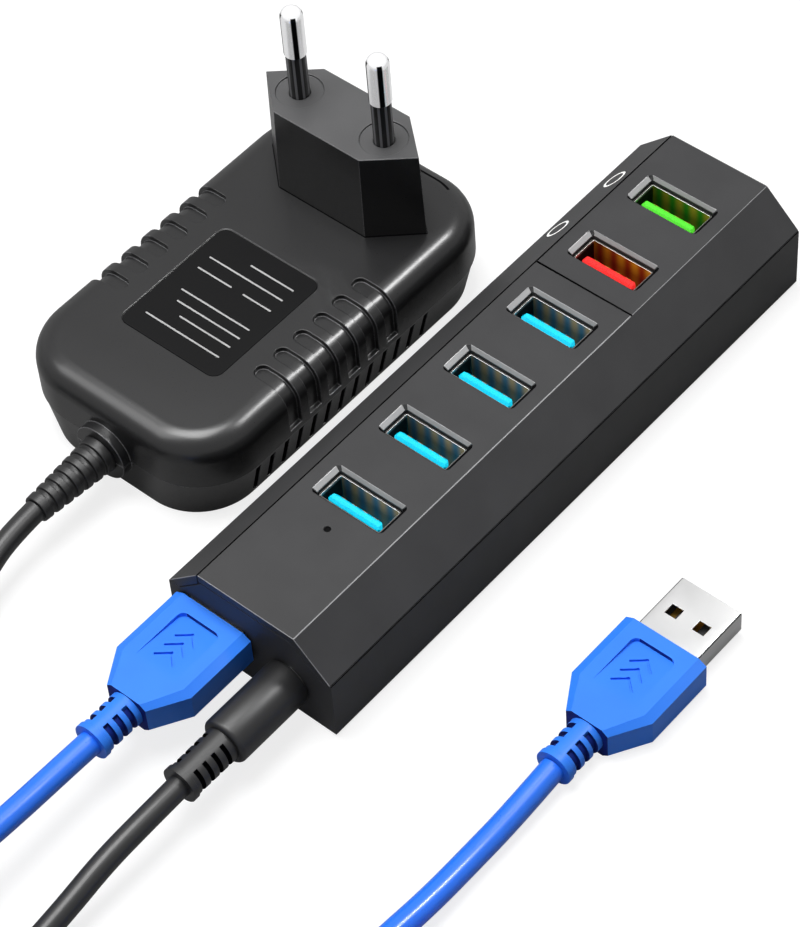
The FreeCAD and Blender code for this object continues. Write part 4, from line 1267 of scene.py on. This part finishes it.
DATA_CORD = Cord(
    "data_cord", "data_cable", BLUE_CORD, "blue_cord", 4.3 * MM, HUB_RUN,
    Coil(HUB_RUN[-1], 29.025 * MM, 15.975 * MM, 3.0, 4.3 * MM, -1), HOST_RUN,
    ("data_cord_hub_run", "data_cord_coil", "data_cord_host_run"))
POWER_CORD = Cord(
    "power_cord", "power_lead", BLACK_CORD, "black_cord", 4.0 * MM, PLUG_RUN,
    Coil(PLUG_RUN[-1], 30.0875 * MM, 15.9125 * MM, 3.5, 4.0 * MM, 1), ADAPTER_RUN,
    ("power_cord_plug_run", "power_cord_coil", "power_cord_adapter_run"))


# ------------------------------------------------------------------------------------ adapter
@dataclass
class MainsAdapter:
    """The dark mains adapter with its pins, its ruled label and its ringed bend relief.

    Attributes:
        edge: The rounding of its moulded edges.
        boss_floor: The height from which the boss's top is painted lighter.
        deck: The height of the lid's top, just under which its edges get no painted highlight.
        boss_half: Half the length of the boss's foot where a shadow is painted.
        label_x: Where the label's middle is along X.
        label_half: Half the label's length and width.
        label_corner: The radius of its corners.
        label_floor: The height of the floor that it lies on.
        label_thick: Its thickness.
        rules: Place along X, start and end along Y of the label's plain rules, in millimetres.
        rule_wide: The width of a rule in millimetres.
    """

    edge: float = 0.14 * MM
    boss_floor: float = 35.2 * MM
    deck: float = 18.6 * MM
    boss_half: float = 14 * MM
    label_x: float = -15.3 * MM
    label_half: tuple[float, float] = (13.38 * MM, 11.18 * MM)
    label_corner: float = 1.9 * MM
    label_floor: float = 18.75 * MM
    label_thick: float = 0.14 * MM
    rules: tuple[Point, ...] = (
        (-9.6, -8.4, 8.4), (-6.8, -8.4, 3.2), (-4.4, -8.4, 6.0), (-2.0, -8.4, 7.2), (3.4, -8.4, -2.0),
        (3.4, 0.6, 8.4), (6.4, -8.4, 8.4), (9.2, -8.4, 1.4))
    rule_wide: float = 0.32

    def build_casings(self) -> None:
        """Round and dress the two casings."""
        pins_y = middle("mains_pins").y
        for node, name in (("adapter_upper_casing", "adapter_lid"), ("adapter_lower_casing", "adapter_tray")):
            casing = dress(merged(node, name), ADAPTER, ADAPTER_EDGE_HIGHLIGHT, BOSS_TOP_LIGHT, SEAM_AND_SHADE)
            # The rounded edges get a painted highlight in slot 1.
            soften(casing, self.edge, 2, 32, edge_slot=1, clamp=False)
            for face in casing.data.polygons:
                # Upward faces of the boss's top are painted lighter.
                if face.center.z > self.boss_floor and face.normal.z > 0.5:
                    face.material_index = 2
                # Just under the deck: painted shadow round the boss's foot, and no painted highlight on the
                # other edges.
                elif self.deck < face.center.z < self.deck + 0.6 * MM:
                    beside = face.center.x > -MM and abs(face.center.y - pins_y) < self.boss_half
                    face.material_index = 3 if beside and 0.1 < face.normal.z < 0.98 else 0
            hand_over(casing, "power_lead", "adapter_plastic", node)

    def build_label(self) -> None:
        """Lay the label in its recess and print its plain rules."""
        x0, y0 = self.label_x, middle("adapter_board").y
        half_x, half_y = self.label_half
        top = self.label_floor + self.label_thick
        label = block("adapter_label", (x0 - half_x, y0 - half_y, self.label_floor),
                      (x0 + half_x, y0 + half_y, top))
        round_edges(label, lambda at, way: abs(way.z) > 0.9, self.label_corner, 8)
        soften(label, 0.04 * MM, 2, 40)
        hand_over(dress(label, LABEL), "power_lead", "adapter_plastic")
        for number, (x, start, end) in enumerate(self.rules, 1):
            rule = block("label_rule_%d" % number, (x0 + x * MM, y0 + start * MM, top - 0.02 * MM),
                         (x0 + (x + self.rule_wide) * MM, y0 + end * MM, top + 0.03 * MM))
            round_edges(rule, lambda at, way: abs(way.z) > 0.9, 0.12 * MM, 2)
            hand_over(dress(rule, RULE), "power_lead", "adapter_plastic")

    def build(self) -> list[Piece]:
        """Build the adapter.

        Returns:
            The pieces that go with the cord.
        """
        self.build_casings()
        relief = rounded("adapter_strain_relief", "adapter_relief", BLACK_GRIP, "power_lead", "black_grip",
                         0.18 * MM, clamp=False)
        rounded("mains_pins", "adapter_pins", PIN, "power_lead", "bright_plate", 0.06 * MM)
        rounded("mains_pin_sleeves", "adapter_sleeves", SLEEVE, "power_lead", "black_insulator", 0.06 * MM)
        self.build_label()
        dress_nodes(BOARD, "adapter_board")
        dress_nodes(FERRITE, "adapter_transformer")
        dress_nodes(CAN, "adapter_capacitors")
        return [relief]


# ------------------------------------------------------------------------------------ studio
@dataclass(frozen=True)
class Lamp:
    """A square soft light.

    Attributes:
        name: Its name.
        place: Where it hangs.
        aim: The point it faces.
        size: The length of its side.
        power: Its power in watts.
        gleam: Whether it is only there for gleams.
    """

    name: str
    place: Point
    aim: Point
    size: float
    power: float
    gleam: bool = True

    def hang(self) -> None:
        """Hang the light."""
        lamp = bpy.data.lights.new(self.name, "AREA")
        lamp.size = self.size
        lamp.energy = self.power
        light = bpy.data.objects.new(self.name, lamp)
        bpy.context.scene.collection.objects.link(light)
        light.location = self.place
        light.visible_diffuse = not self.gleam
        light.rotation_euler = (Vector(self.aim) - light.location).to_track_quat("-Z", "Y").to_euler()


@dataclass
class Studio:
    """A pale floor, soft lights and the camera.

    Attributes:
        floor_half: Half the floor's side.
        floor_drop: How far the floor is under the object.
        floor_grey: The floor's own colour.
        floor_lift: How much white the floor shows to the camera on top of its own colour.
        floor_mirror: The same to mirrored rays.
        sky: The strength of the surroundings.
        sky_mirror: The same to mirrored rays.
        lamps: The main light, the one for rounded edges on the right and the one for those on the left.
        camera_place: Where the camera is.
        camera_turn: How it is turned in degrees.
        camera_lens: Its focal length in millimetres on a 36 mm sensor.
    """

    floor_half: float = 4.0
    floor_drop: float = 0.05 * MM
    floor_grey: float = 0.24
    floor_lift: float = 0.8
    floor_mirror: float = 0.08
    sky: float = 0.17
    sky_mirror: float = 0.7
    lamps: tuple[Lamp, ...] = (
        Lamp("key_light", (-0.04, 0.16, 0.95), (0, 0, 0), 0.5, 10.4, gleam=False),
        Lamp("rim_light", (0.35, -0.2, 0.62), (0, 0.03, 0), 0.12, 3.2),
        Lamp("edge_light", (-0.5, 0.5, 0.9), (-0.05, 0.05, 0), 0.6, 5.0))
    camera_place: Point = (-0.269388, -0.241142, 0.434435)
    camera_turn: Point = (39.54306, 3.32338, -49.52589)
    camera_lens: float = 129.62

    def build_floor(self) -> None:
        """Lay the floor, which keeps the object's shadow and looks white."""
        bpy.ops.mesh.primitive_plane_add(size=2 * self.floor_half, location=(0, 0, -self.floor_drop))
        floor = bpy.context.object
        floor.name = "floor"
        nodes = Nodes(bpy.data.materials.new("floor_paper"))
        stops = ((0.3, (self.floor_grey,) * 3), (0.7, (self.floor_grey * 1.01,) * 3))
        ray = nodes.add("LightPath", {})
        mirrored = nodes.math("MULTIPLY", ray["Is Glossy Ray"], self.floor_mirror)
        nodes.feed(nodes.shader, {
            "Base Color": nodes.ramp(nodes.noise(0.5), stops), "Roughness": 0.9,
            "Emission Color": (1, 1, 1, 1),
            "Emission Strength": nodes.math("MULTIPLY_ADD", ray["Is Camera Ray"], self.floor_lift, mirrored)})
        floor.data.materials.append(nodes.owner)

    def build_world(self) -> None:
        """Surround the object with even light that looks white."""
        nodes = Nodes(bpy.data.worlds.new("studio_world"))
        bpy.context.scene.world = nodes.owner
        ray = nodes.add("LightPath", {})
        seen = nodes.math("MAXIMUM", ray["Is Camera Ray"], ray["Is Transmission Ray"])
        strength = nodes.math("MULTIPLY_ADD", ray["Is Glossy Ray"], self.sky_mirror - self.sky,
                              nodes.span(seen, self.sky, 1.0))
        nodes.feed(nodes.shader, {"Color": (1, 1, 1, 1), "Strength": strength})

    def build_camera(self) -> None:
        """Set the camera."""
        lens = bpy.data.cameras.new("camera")
        lens.lens = self.camera_lens
        lens.sensor_width = 36
        lens.clip_start = 0.01
        camera = bpy.data.objects.new("camera", lens)
        bpy.context.scene.collection.objects.link(camera)
        camera.location = self.camera_place
        camera.rotation_euler = [math.radians(a) for a in self.camera_turn]
        bpy.context.scene.camera = camera

    def build(self) -> None:
        """Build the whole studio."""
        bpy.context.scene.view_settings.view_transform = "Standard"
        self.build_floor()
        self.build_world()
        for lamp in self.lamps:
            lamp.hang()
        self.build_camera()


def main() -> None:
    Studio().build()
    data_cord = DATA_CORD.build()
    power_cord = POWER_CORD.build()
    HubCase().build()
    for number, kind in enumerate([PortKind.DATA] * 4 + [PortKind.FAST, PortKind.SMART], 1):
        Port(number, kind).build()
    build_hub_inside()
    hub_plug = DataPlug("hub_plug").build()
    host_plug = DataPlug("host_plug").build()
    power_plug = PowerPlug().build()
    adapter = MainsAdapter().build()
    data_ties = DATA_CORD.build_ties()
    power_ties = POWER_CORD.build_ties()


if __name__ == "__main__":
    logging.basicConfig(level=logging.INFO, format="%(name)s: %(message)s")
    main()
